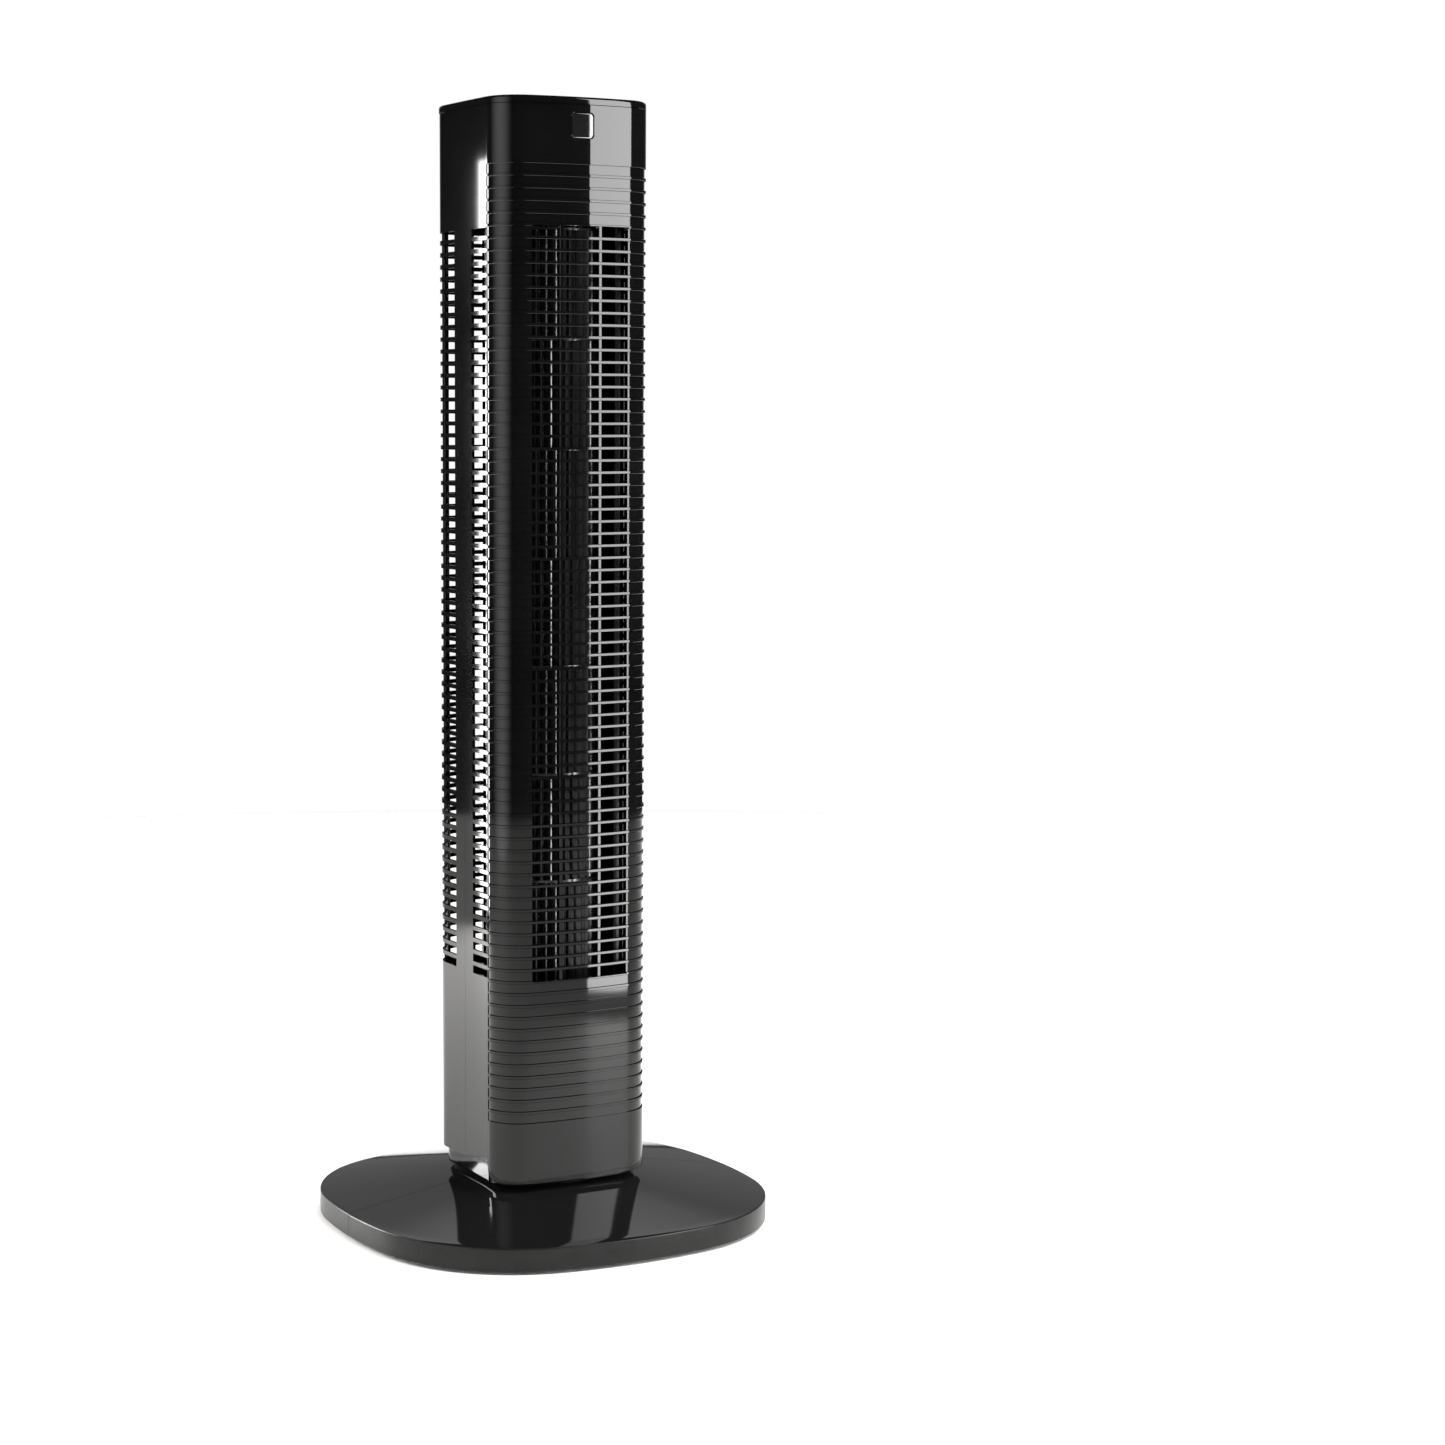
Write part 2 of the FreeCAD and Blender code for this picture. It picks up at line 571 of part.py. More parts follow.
def button(label, step):
    """One push button: cap through the panel, a flange under it and a stem over its switch."""
    body = new_body(label)
    half_x, half_y = size("button_width") / 2, size("button_depth") / 2
    x, y = size("button_pitch") * step, size("button_row")
    flange_top = CAP_UNDERSIDE - size("button_gap")
    for name, grow, low, high in (("stem", Dim(2.0), STEM_LOW, flange_top),
                                  ("flange", Dim(1.8), flange_top - 1.2, flange_top),
                                  ("cap", ZERO, flange_top, BUTTON_TOP)):
        sketch = sketch_in(body, f"{label}_{name}", low)
        if name == "stem":
            draw_circle(sketch, grow, x, y)
        else:
            draw_rectangle(sketch, x - half_x - grow, x + half_x + grow,
                           y - half_y - grow, y + half_y + grow)
        pad(body, sketch, high - low)
    return body


def display():
    """Display lens in the front cover's hole, and its board behind."""
    blank = DOC.addObject("PartDesign::Body", "lens_blank")
    low = size("lens_height") - size("lens_depth") / 2
    ring(blank, "lens_ring", TOWER, 0.2, size("lens_thickness"), low, low + size("lens_depth"))
    half_y = size("tower_depth") / 2
    window = box("lens_limit", size("lens_size"), Dim(20), size("lens_depth"), ZERO, -half_y, low)
    node("display_lens", common("lens", [blank, window]))
    board_y = -(half_y - 12.0)
    node("display_board", fuse("display_parts", [
        box("display_pcb", 30, 1.6, 20, ZERO, board_y + 0.8, size("lens_height") - 10.0),
        box("display_led", 17, 6.5, 16, ZERO, board_y - 3.25, size("lens_height") - 8.0)]))


def control_board():
    """Board under the buttons with one tactile switch each and the harness socket."""
    row, pitch = size("button_row"), size("button_pitch")
    parts = [box("control_pcb", pitch * 6.2, 34, size("board_thickness"), ZERO, row, BOARD_LOW),
             box("control_socket", 10, 8, 8, HARNESS_X, row + 10.0, BOARD_LOW - 8.0)]
    for step in range(-2, 3):
        parts.append(box(f"switch_{step + 2}", 6, 6, 3.5, pitch * step, row, BOARD_TOP))
        parts.append(cylinder(f"plunger_{step + 2}", 1.7, 5.0, pitch * step, row, BOARD_TOP))
    node("control_board", fuse("control_parts", parts))


# ---- internal plates, guides and wiring ---------------------------------------------------------
HARNESS_X, HARNESS_Y, HARNESS_RADIUS = Dim(34.0), size("tower_depth") / 2 - 17.2, Dim(2.2)
HARNESS_HOLE = (Dim(4.0), HARNESS_X, HARNESS_Y)
PLATE_INSET = BEHIND_COVER + size("housing_wall") + size("shell_gap")


def inner_plates():
    """Steel motor deck under the impeller and the bearing plate above it."""
    deck = new_body("motor_deck")
    plate(deck, "deck_outline", TOWER, PLATE_INSET, DECK_LOW, DECK_TOP,
          [(Dim(14.0), ZERO, ZERO), HARNESS_HOLE])
    top = new_body("bearing_plate")
    seat = size("bearing_radius") + 5.0
    plate(top, "bearing_plate_outline", TOWER, PLATE_INSET, BEARING_PLATE_LOW, BEARING_PLATE_TOP,
          [(seat, ZERO, ZERO), HARNESS_HOLE])
    collar = sketch_in(top, "bearing_collar", BEARING_PLATE_LOW)
    draw_circle(collar, seat + 3.0)
    draw_circle(collar, seat)
    pad(top, collar, 12)
    node("bearing_rubber", tube("rubber_seat", seat, size("bearing_radius"), 8, z=BEARING_PLATE_LOW))
    node("top_bearing", tube("bush", size("bearing_radius"),
                             size("shaft_radius") + size("running_gap"), 8, z=BEARING_PLATE_LOW))


def air_guides():
    """Scroll wall from the rear round the right side to the window, and the tongue at its left."""
    tall = BEARING_PLATE_LOW - DECK_TOP
    inner = size("impeller_radius") + size("guide_gap")
    lean = Dim(4.0)
    turn = FreeCAD.Rotation(Z_AXIS, -45)
    outside = cylinder("scroll_outside", inner + size("guide_wall"), tall, lean, -lean, DECK_TOP,
                       turn)
    outside.Angle = 130
    inside = cylinder("scroll_inside", inner, tall, lean, -lean, DECK_TOP)
    node("scroll_guide", cut("scroll", outside, inside))
    nose = 2.0
    reach = size("impeller_radius") + size("tongue_gap") + nose
    angle = math.radians(214)
    x, y = reach * math.cos(angle), reach * math.sin(angle)
    blade = primitive("Box", "tongue_blade", {"Length": 30, "Width": nose * 2, "Height": tall},
                      x - nose, y, DECK_TOP, FreeCAD.Rotation(Z_AXIS, -90))
    round_nose = cylinder("tongue_nose", nose, tall, x, y, DECK_TOP)
    node("vortex_tongue", fuse("tongue", [blade, round_nose]))


def power_board():
    """Supply board behind the motor with its run capacitor and sockets."""
    y = size("tower_depth") / 2 - 12.2
    node("power_board", fuse("power_parts", [
        box("power_pcb", 80, 1.6, 60, ZERO, y + 0.8, DECK_LOW - 80.0),
        box("run_capacitor", 37, 14, 26, -14.0, y - 7.0, DECK_LOW - 60.0),
        box("relay", 19, 10, 15, 18.0, y - 5.0, DECK_LOW - 74.0),
        box("power_socket", 12, 9, 8, HARNESS_X, y - 4.5, DECK_LOW - 28.0)]))


def wire_harness():
    """Lead from the supply board up the rear, over the bearing plate and up to the control board."""
    x, rear, fore = HARNESS_X.value, HARNESS_Y.value, (size("button_row") + 10.0).value
    over = (BEARING_PLATE_TOP + 10.0).value
    route = [Vec(x, rear, (DECK_LOW - 20.0).value), Vec(x, rear, over), Vec(x, fore, over),
             Vec(x, fore, (BOARD_LOW - 8.0).value)]
    bend = 15.0
    edges, start = [], route[0]
    for before, corner, after in zip(route, route[1:], route[2:]):
        back, ahead = (before - corner).normalize(), (after - corner).normalize()
        first, last = corner + back * bend, corner + ahead * bend
        middle = corner + (back + ahead) * bend * (1 - math.sqrt(0.5))
        edges += [Part.LineSegment(start, first).toShape(), Part.Arc(first, middle, last).toShape()]
        start = last
    edges.append(Part.LineSegment(start, route[-1]).toShape())
    profile = Part.Wire([Part.Circle(route[0], Z_AXIS, HARNESS_RADIUS.value).toShape()])
    item = DOC.addObject("Part::Feature", "harness")
    item.Shape = Part.Wire(edges).makePipeShell([profile], True, False)
    node("wire_harness", item)


def housing_screws():
    """Four self-tapping screws sunk in the rear housing's wells."""
    screws = []
    for side in (-1, 1):
        for index, level in enumerate(BOSS_LEVELS):
            name, x = f"housing_screw_{side}_{index}", size("boss_place") * side
            head = cylinder(f"{name}_head", size("screw_head"), 2.4, x, BOSS_SEAT + 2.0, level,
                            TURN_TO_REAR)
            shank = cylinder(f"{name}_shank", size("screw_radius"), 14, x, BOSS_SEAT - 12.0, level,
                             TURN_TO_REAR)
            screws.append(fuse(name, [head, shank]))
    node("housing_screws", group("housing_screw_set", screws))


# ---- fan motor and impeller ---------------------------------------------------------------------
def fan_motor():
    """Can, stator and rubber mounts on the tower; rotor core and shaft on the impeller's side."""
    radius, low, high = size("fan_motor_radius"), FAN_MOTOR_LOW, FAN_MOTOR_TOP
    bore = size("shaft_radius") + size("running_gap")
    can = cut("can_hollow", cylinder("can_outside", radius, high - low, z=low),
              cylinder("can_inside", radius - 2.0, high - low - 6.0, z=low + 3.0))
    node("fan_motor_can", cut("can", can, cylinder("can_bore", bore, high - low, z=low)))
    core = size("fan_motor_radius") - 9.0
    node("fan_motor_stator", tube("stator", radius - 2.0, core + 0.3, high - low - 16.0,
                                  z=low + 8.0))
    node("motor_rotor", tube("rotor_core", core, size("shaft_radius"), high - low - 20.0,
                             z=low + 10.0))
    node("motor_shaft", cylinder("shaft", size("shaft_radius"), IMPELLER_LOW - 2.0 - low + 4.0,
                                 z=low - 4.0))
    mounts = [cylinder(f"motor_mount_{index}", 6, MOUNT_TALL, Dim(20.0 * x), Dim(20.0 * y), high)
              for index, (x, y) in enumerate(((1, 1), (-1, 1), (-1, -1), (1, -1)))]
    node("motor_mounts", group("motor_mount_set", mounts))


def impeller_stage(number):
    """One stage: a disc carrying a ring of curved blades; odd stages sit half a pitch round."""
    body = new_body(f"impeller_stage_{number + 1}")
    outer, depth = SIZES["impeller_radius"], SIZES["blade_depth"]
    half = SIZES["blade_thickness"] / 2
    disc = sketch_in(body, f"stage_disc_{number}")
    draw_circle(disc, size("impeller_radius"))
    pad(body, disc, size("disc_thickness"))
    blade = sketch_in(body, f"stage_blade_{number}", size("disc_thickness"))
    lean, bulge = math.radians(7), 2.2
    inside = Vec(outer - depth, 0, 0)
    outside = Vec((outer - 0.6) * math.cos(lean), (outer - 0.6) * math.sin(lean), 0)
    chord = outside - inside
    across = Vec(-chord.y, chord.x, 0).normalize()
    middle = (inside + outside) / 2 - across * bulge
    for sign in (-1, 1):
        shift = across * half * sign
        ends = (inside + shift, middle + shift, outside + shift)
        blade.addGeometry(Part.Arc(*(ends if sign < 0 else ends[::-1])), False)
    blade.addGeometry(Part.LineSegment(outside - across * half, outside + across * half), False)
    blade.addGeometry(Part.LineSegment(inside + across * half, inside - across * half), False)
    for index in range(blade.GeometryCount):
        constrain(blade, "Block", index)
    repeat_round(body, pad(body, blade, STAGE_TALL - size("disc_thickness")), size("blade_count"))
    spin = FreeCAD.Rotation(Z_AXIS, (number % 2) * 180 / SIZES["blade_count"])
    place(body, ZERO, ZERO, IMPELLER_LOW + STAGE_TALL * number, spin)


def impeller_ends():
    """Hub on the motor shaft below, and the end disc with its stub shaft above."""
    top = size("disc_thickness")
    hub = cut("hub_bored", cylinder("hub_outside", 12, 10, z=IMPELLER_LOW - 10.0),
              cylinder("hub_bore", size("shaft_radius"), 8, z=IMPELLER_LOW - 10.0))
    node("impeller_hub", hub)
    disc = cylinder("end_disc", size("impeller_radius"), top, z=IMPELLER_HIGH)
    stub = cylinder("stub_shaft", size("shaft_radius"), Dim(16), z=IMPELLER_HIGH)
    node("impeller_end_disc", fuse("end_parts", [disc, stub]))


# ---- neck, pivot and swing drive ----------------------------------------------------------------
def neck_skirt():
    """Gloss skirt under the tower: floor, pivot collar and the swing motor's posts."""
    body = new_body("neck_skirt")
    inset, wall, bore = size("neck_inset"), size("neck_wall"), size("post_radius") + size("running_gap")
    plate(body, "neck_floor_outline", TOWER, inset, NECK_BOTTOM, NECK_FLOOR_TOP,
          [(bore, ZERO, ZERO)])
    ring(body, "neck_wall_ring", TOWER, inset, inset + wall, NECK_BOTTOM, size("neck_top"))
    ring(body, "neck_top_ring", TOWER, BEHIND_COVER, inset + wall, size("neck_top") - 8.0,
         size("neck_top"))
    collar = sketch_in(body, "pivot_collar", NECK_BOTTOM)
    draw_circle(collar, bore + 5.0)
    draw_circle(collar, bore)
    pad(body, collar, size("collar_height"))
    posts = sketch_in(body, "swing_motor_posts", NECK_FLOOR_TOP - 1.0)
    for side in (-1, 1):
        draw_circle(posts, 3.5, (size("swing_motor_radius") + 6.0) * side, GEAR_CENTRES)
    pad(body, posts, SWING_MOTOR_LOW - NECK_FLOOR_TOP + 1.0)
    return body


def gear_shape(teeth, module, bore, low, face, turn):
    """Spur gear with stub involute teeth: 25 degree flanks, thinned a little for backlash."""
    pressure = math.radians(25)
    pitch_radius = module * teeth / 2
    base_radius = pitch_radius * math.cos(pressure)
    tip, root = pitch_radius + 0.8 * module, pitch_radius - 1.0 * module
    flank_foot = max(base_radius, root + 0.05)
    backlash = 0.08
    involute = math.tan(pressure) - pressure
    half_pitch = (math.pi * module / 2 - backlash) / (2 * pitch_radius)

    def half_angle(radius):
        local = math.acos(min(1.0, base_radius / radius))
        return half_pitch + involute - (math.tan(local) - local)

    def at(radius, angle):
        return Vec(radius * math.cos(angle), radius * math.sin(angle), low)

    edges = []
    for tooth in range(teeth):
        axis = 2 * math.pi * tooth / teeth + math.radians(turn)
        middle = (flank_foot + tip) / 2
        radii = (flank_foot, middle, tip)
        rising = [at(radius, axis - half_angle(radius)) for radius in radii]
        falling = [at(radius, axis + half_angle(radius)) for radius in radii[::-1]]
        following = 2 * math.pi / teeth + axis
        foot = at(root, axis - half_angle(flank_foot))
        heel = at(root, axis + half_angle(flank_foot))
        next_foot = at(root, following - half_angle(flank_foot))
        edges += [Part.LineSegment(foot, rising[0]), Part.Arc(*rising),
                  Part.Arc(rising[2], at(tip, axis), falling[0]), Part.Arc(*falling),
                  Part.LineSegment(falling[2], heel),
                  Part.Arc(heel, at(root, axis + math.pi / teeth), next_foot)]
    solid = Part.Face(Part.Wire([edge.toShape() for edge in edges])).extrude(Vec(0, 0, face))
    if bore:
        solid = solid.cut(Part.makeCylinder(bore, face, Vec(0, 0, low)))
    return solid


def swing_drive():
    """Fixed gear on the base post, and the gear motor whose pinion walks round it."""
    module, low, face = SIZES["gear_module"], GEAR_LOW.value, SIZES["gear_face"]
    fixed = DOC.addObject("Part::Feature", "fixed_gear_solid")
    fixed.Shape = gear_shape(SIZES["fixed_teeth"], module, SIZES["post_radius"], low, face, 90)
    node("fixed_gear", fixed)
    pinion = gear_shape(SIZES["pinion_teeth"], module, 0, low, face,
                        90 + 180 / SIZES["pinion_teeth"])
    shaft = Part.makeCylinder(SIZES["pinion_shaft"], face + 7.0, Vec(0, 0, low))
    turning = DOC.addObject("Part::Feature", "pinion_solid")
    turning.Shape = pinion.fuse(shaft).removeSplitter()
    node("swing_pinion", place(turning, ZERO, GEAR_CENTRES, ZERO))
    radius = size("swing_motor_radius")
    case = cylinder("swing_case", radius, size("swing_motor_height"), ZERO, GEAR_CENTRES,
                    SWING_MOTOR_LOW)
    ears = box("swing_ears", radius * 2 + 20.0, 9, 1.4, ZERO, GEAR_CENTRES, SWING_MOTOR_LOW)
    bore = cylinder("swing_bore", size("pinion_shaft") + size("running_gap"), 6.0, ZERO,
                    GEAR_CENTRES, SWING_MOTOR_LOW)
    node("swing_motor", cut("swing_motor_body", fuse("swing_case_ears", [case, ears]), bore))


# ---- base ---------------------------------------------------------------------------------------
DOME = ((1.0, 0.0), (0.918, 0.135), (0.70, 0.50), (0.511, 0.765), (0.34, 1.0))
BASE_SCREWS = ((118.0, 62.0), (40.0, 128.0))


def dome_sections(body, name, outline, drop):
    """Sections of the dome: the outline scaled in as the surface rises to the crown."""
    sections = []
    for index, (scale, rise) in enumerate(DOME):
        level = RIM_TOP + size("dome_height") * rise - drop
        sketch = sketch_in(body, f"{name}_{index}", level)
        draw_outline(sketch, outline.scaled(scale))
        sections.append(sketch)
    return sections


def base_half(label, side):
    """Front (side -1) or rear (side +1) half of the domed base cover, hollow underneath."""
    body = new_body(label)
    foot, wall = size("foot_height"), size("base_wall")
    plate(body, f"{label}_rim", BASE, ZERO, foot, RIM_TOP)
    dome = body.newObject("PartDesign::AdditiveLoft", f"{label}_dome")
    sections = dome_sections(body, f"{label}_outer", BASE, ZERO)
    dome.Profile, dome.Sections = sections[0], sections[1:]
    hollow = sketch_in(body, f"{label}_hollow", foot)
    draw_outline(hollow, BASE.inset(wall))
    pocket_up(body, hollow, RIM_TOP - wall - foot)
    under = body.newObject("PartDesign::SubtractiveLoft", f"{label}_under")
    sections = dome_sections(body, f"{label}_inner", BASE.inset(wall), wall)
    under.Profile, under.Sections = sections[0], sections[1:]
    bosses = sketch_in(body, f"{label}_bosses", foot + size("ballast_thickness"))
    for x, y in BASE_SCREWS:
        for across in (-1, 1):
            draw_circle(bosses, size("boss_radius"), Dim(x * across), Dim(y * side))
    pad(body, bosses, size("rim_height") + size("boss_reach"))
    reach = size("base_width")
    if side < 0:
        clear_box(body, f"{label}_split", -reach, reach, ZERO, reach, ZERO, CROWN + 5.0)
    else:
        clear_box(body, f"{label}_split", -reach, reach, -reach, ZERO, ZERO, CROWN + 5.0)
        rear = size("base_depth") / 2
        for name, radius, start in (("inlet", size("grommet_radius"), rear - 12.0),
                                    ("inlet_seat", size("grommet_flange"), rear - 1.8)):
            hole = sketch_in(body, f"{label}_{name}", -start, "XZ_Plane")
            draw_circle(hole, radius, ZERO, size("inlet_height"))
            feature(body, "Pocket", hole, Dim(20))
    centre = sketch_in(body, f"{label}_post_hole", foot)
    draw_circle(centre, size("post_radius") + 1.0)
    pocket_up(body, centre, CROWN)
    return body


def base_inside():
    """Ballast plate, pivot hub, glide ring, retaining ring, feet, screws and the cord grommet."""
    foot, top = size("foot_height"), size("foot_height") + size("ballast_thickness")
    ballast = new_body("ballast_plate")
    plate(ballast, "ballast_outline", BASE, size("base_wall") + size("shell_gap"), foot, top,
          [(size("post_bore"), ZERO, ZERO)])
    post, hub = size("post_radius"), size("hub_radius")
    under_crown = CROWN - size("base_wall")
    solid = fuse("hub_solid", [
        cylinder("hub_flange", hub + 12.0, 3, z=top),
        cylinder("hub_post", post, size("post_height") - top, z=top),
        tube("hub_wall", hub, hub - 3.0, under_crown - top, z=top)])
    node("pivot_hub", cut("hub", solid, cylinder("hub_cable_bore", size("post_bore"),
                                                 size("post_height"), z=top)))
    node("glide_ring", tube("glide", size("glide_radius"), size("glide_radius") - 8.0,
                            size("glide_thickness"), z=CROWN))
    node("retaining_ring", tube("retainer", post + 6.0, post, 2.0, z=COLLAR_TOP + size("lift_gap")))
    reach_x = size("base_width") / 2 - size("foot_inset")
    reach_y = size("base_depth") / 2 - size("foot_inset")
    spots = [(reach_x * x, reach_y * y) for x, y in
             ((1, 0), (-1, 0), (0.72, 0.72), (-0.72, 0.72), (0.72, -0.72), (-0.72, -0.72))]
    node("foot_pads", group("foot_pad_set", [
        cylinder(f"foot_pad_{index}", size("foot_radius"), foot, x, y)
        for index, (x, y) in enumerate(spots)]))
    spots = [(Dim(x * a), Dim(y * b)) for x, y in BASE_SCREWS for a in (-1, 1) for b in (-1, 1)]
    screws = [fuse(f"base_screw_{index}", [
        cylinder(f"base_screw_head_{index}", size("screw_head"), 1.6, x, y, foot - 1.6),
        cylinder(f"base_screw_shank_{index}", size("screw_radius"), 12.0, x, y, foot)])
        for index, (x, y) in enumerate(spots)]
    node("base_screws", group("base_screw_set", screws))
    rear, wall = size("base_depth") / 2, size("base_wall")
    at = dict(x=ZERO, z=size("inlet_height"), rotation=TURN_TO_REAR)
    flange, neck = size("grommet_flange"), size("grommet_radius")
    rubber = fuse("grommet_solid", [
        cylinder("grommet_outer", flange, 1.4, y=rear - 1.8, **at),
        cylinder("grommet_neck", neck, wall - 0.1, y=rear - wall - 1.7, **at),
        cylinder("grommet_inner", neck + size("grommet_lip"), 1.6, y=rear - wall - 1.7, **at)])
    node("cord_grommet", cut("grommet", rubber, cylinder("grommet_bore", size("inlet_radius"), 12,
                                                         y=rear - 10.0, **at)))


def build():
    """Make every sub-part in the order it would be put together."""
    base_half("base_front_half", -1)
    base_half("base_rear_half", 1)
    base_inside()
    neck_skirt()
    swing_drive()
    front_grille()
    front_housing()
    rear_housing()
    carry_handle()
    inner_plates()
    air_guides()
    fan_motor()
    for number in range(SIZES["stage_count"]):
        impeller_stage(number)
    impeller_ends()
    power_board()
    wire_harness()
    display()
    control_board()
    top_cover()
    for step, name in enumerate(("power", "swing", "speed", "mode", "timer"), start=-2):
        button(f"{name}_button", step)
    housing_screws()


def export():
    """Check every object and sub-part, then write one file for each sub-part."""
    DOC.recompute()
    failed = [item.Name for item in DOC.Objects if {"Invalid", "Error"} & set(item.State)]
    bad = [label for label, item in NODES.items()
           if item.Shape.isNull() or not item.Shape.isValid() or not item.Shape.Solids]
    if failed or bad:
        raise SystemExit(f"objects in error: {failed}; shapes not valid: {bad}")
    os.makedirs("parts", exist_ok=True)
    for label, item in NODES.items():
        item.Shape.exportStep(f"parts/{label}.step")


build()
export()
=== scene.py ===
"""Tower fan: the visual model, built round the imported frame, in metres."""
import logging
import math
from dataclasses import dataclass, field
from enum import Enum

import bmesh
import bpy
import numpy as np
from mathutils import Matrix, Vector


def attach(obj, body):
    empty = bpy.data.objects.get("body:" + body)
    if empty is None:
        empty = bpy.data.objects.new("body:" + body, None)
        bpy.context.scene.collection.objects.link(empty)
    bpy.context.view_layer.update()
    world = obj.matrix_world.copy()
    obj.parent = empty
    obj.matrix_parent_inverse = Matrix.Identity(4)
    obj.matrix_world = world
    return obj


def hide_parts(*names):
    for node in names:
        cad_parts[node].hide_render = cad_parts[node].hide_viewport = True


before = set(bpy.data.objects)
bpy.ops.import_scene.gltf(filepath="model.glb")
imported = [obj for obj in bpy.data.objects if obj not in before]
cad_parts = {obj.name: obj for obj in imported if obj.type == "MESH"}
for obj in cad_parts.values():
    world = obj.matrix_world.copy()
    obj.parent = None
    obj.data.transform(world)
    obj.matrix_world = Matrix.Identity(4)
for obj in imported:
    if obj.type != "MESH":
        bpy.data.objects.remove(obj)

LOG = logging.getLogger("tower_fan")
MM = 0.001
TINY = 1e-6          # metres: places closer than this count as one
SOFT_CREASE = 50.0   # degrees, for pieces whose rounded edges are only a few faces wide
Mesh = tuple[np.ndarray, np.ndarray]
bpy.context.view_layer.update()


class Fade(Enum):
    """How a light panel's brightness falls off over its face."""

    NONE = "even all over"
    SIDES = "soft at both sides"
    UPWARDS = "brightest at the bottom"


FADE_STOPS: dict[Fade, tuple[tuple[float, float], ...]] = {
    Fade.SIDES: ((0.0, 0.0), (0.5, 1.0), (1.0, 0.0)),
    Fade.UPWARDS: ((0.0, 0.22), (0.55, 0.3), (1.0, 1.0)),
}


class Grain(Enum):
    """The small-scale surface that a finish carries."""

    POLISHED = "polished"
    SPARKED = "sparked"
    BRUSHED = "brushed"
    SMOOTH = "smooth"


@dataclass(frozen=True)
class Finish:
    """A procedural finish: colour, how far it varies, its roughness range and its grain.

    The pattern's size is given as cycles per metre of Object coordinates.  The fine noise has
    fine_ratio times as many cycles, and a brushed pattern is drawn out along Z.
    """

    name: str
    dark: tuple[float, float, float]
    light: tuple[float, float, float]
    rough: tuple[float, float]
    grain: Grain = Grain.SMOOTH
    cycles: float = 60.0
    relief: float = 0.1
    metallic: float = 0.0
    coat: float = 0.0
    specular: float = 0.5
    coat_rough: float = 0.04
    fine_ratio: float = 14.0
    brush_squeeze: float = 0.04
    bump_depth: float = 0.0004
    blend: tuple[float, float] = (0.3, 0.7)

    def material(self) -> bpy.types.Material:
        """Find the finish's material, or make its nodes the first time.

        Returns:
            The material.
        """
        label = f"{self.name}_finish"
        found = bpy.data.materials.get(label)
        if found:
            return found
        made = bpy.data.materials.new(label)
        made.use_nodes = True
        nodes, links = made.node_tree.nodes, made.node_tree.links
        shader = nodes["Principled BSDF"]
        shader.inputs["Metallic"].default_value = self.metallic
        shader.inputs["Coat Weight"].default_value = self.coat
        shader.inputs["Coat Roughness"].default_value = self.coat_rough
        shader.inputs["Specular IOR Level"].default_value = self.specular
        where = nodes.new("ShaderNodeTexCoord")
        stretch = nodes.new("ShaderNodeMapping")
        if self.grain is Grain.BRUSHED:
            stretch.inputs["Scale"].default_value = (1.0, 1.0, self.brush_squeeze)
        links.new(where.outputs["Object"], stretch.inputs["Vector"])
        tree = made.node_tree
        cloud = self._noise(tree, stretch, scale=self.cycles, detail=3.0)
        fine = self._noise(tree, stretch, scale=self.cycles * self.fine_ratio, detail=2.0)
        self._ramp(tree, cloud, shader.inputs["Base Color"])
        surface = cloud if self.grain is Grain.POLISHED else fine
        spread = nodes.new("ShaderNodeMapRange")
        spread.inputs["To Min"].default_value, spread.inputs["To Max"].default_value = self.rough
        links.new(surface.outputs["Fac"], spread.inputs["Value"])
        links.new(spread.outputs["Result"], shader.inputs["Roughness"])
        bump = nodes.new("ShaderNodeBump")
        bump.inputs["Strength"].default_value = self.relief
        bump.inputs["Distance"].default_value = self.bump_depth
        links.new(surface.outputs["Fac"], bump.inputs["Height"])
        links.new(bump.outputs["Normal"], shader.inputs["Normal"])
        return made

    @staticmethod
    def _noise(tree: bpy.types.NodeTree, mapping: bpy.types.Node, scale: float,
               detail: float) -> bpy.types.Node:
        """Add a noise texture that is read through a mapping.

        Args:
            tree: the material's nodes.
            mapping: the node that stretches the pattern.
            scale: cycles per metre.
            detail: how many finer layers it has.

        Returns:
            The noise node.
        """
        noise = tree.nodes.new("ShaderNodeTexNoise")
        noise.inputs["Scale"].default_value = scale
        noise.inputs["Detail"].default_value = detail
        tree.links.new(mapping.outputs["Vector"], noise.inputs["Vector"])
        return noise

    def _ramp(self, tree: bpy.types.NodeTree, noise: bpy.types.Node,
              socket: bpy.types.NodeSocket) -> None:
        """Colour a socket from dark to light over the noise's middle range.

        Args:
            tree: the material's nodes.
            noise: the noise that drives the colour.
            socket: the input to colour.
        """
        ramp = tree.nodes.new("ShaderNodeValToRGB")
        for stop, place, colour in zip(ramp.color_ramp.elements, self.blend,
                                       (self.dark, self.light)):
            stop.position, stop.color = place, (*colour, 1.0)
        tree.links.new(noise.outputs["Fac"], ramp.inputs["Fac"])
        tree.links.new(ramp.outputs["Color"], socket)


def grey(level: float, warm: float = 0.0) -> tuple[float, float, float]:
    """Return a grey of a linear level, a little warmer or cooler."""
    return (level * (1 + warm), level, level * (1 - warm))


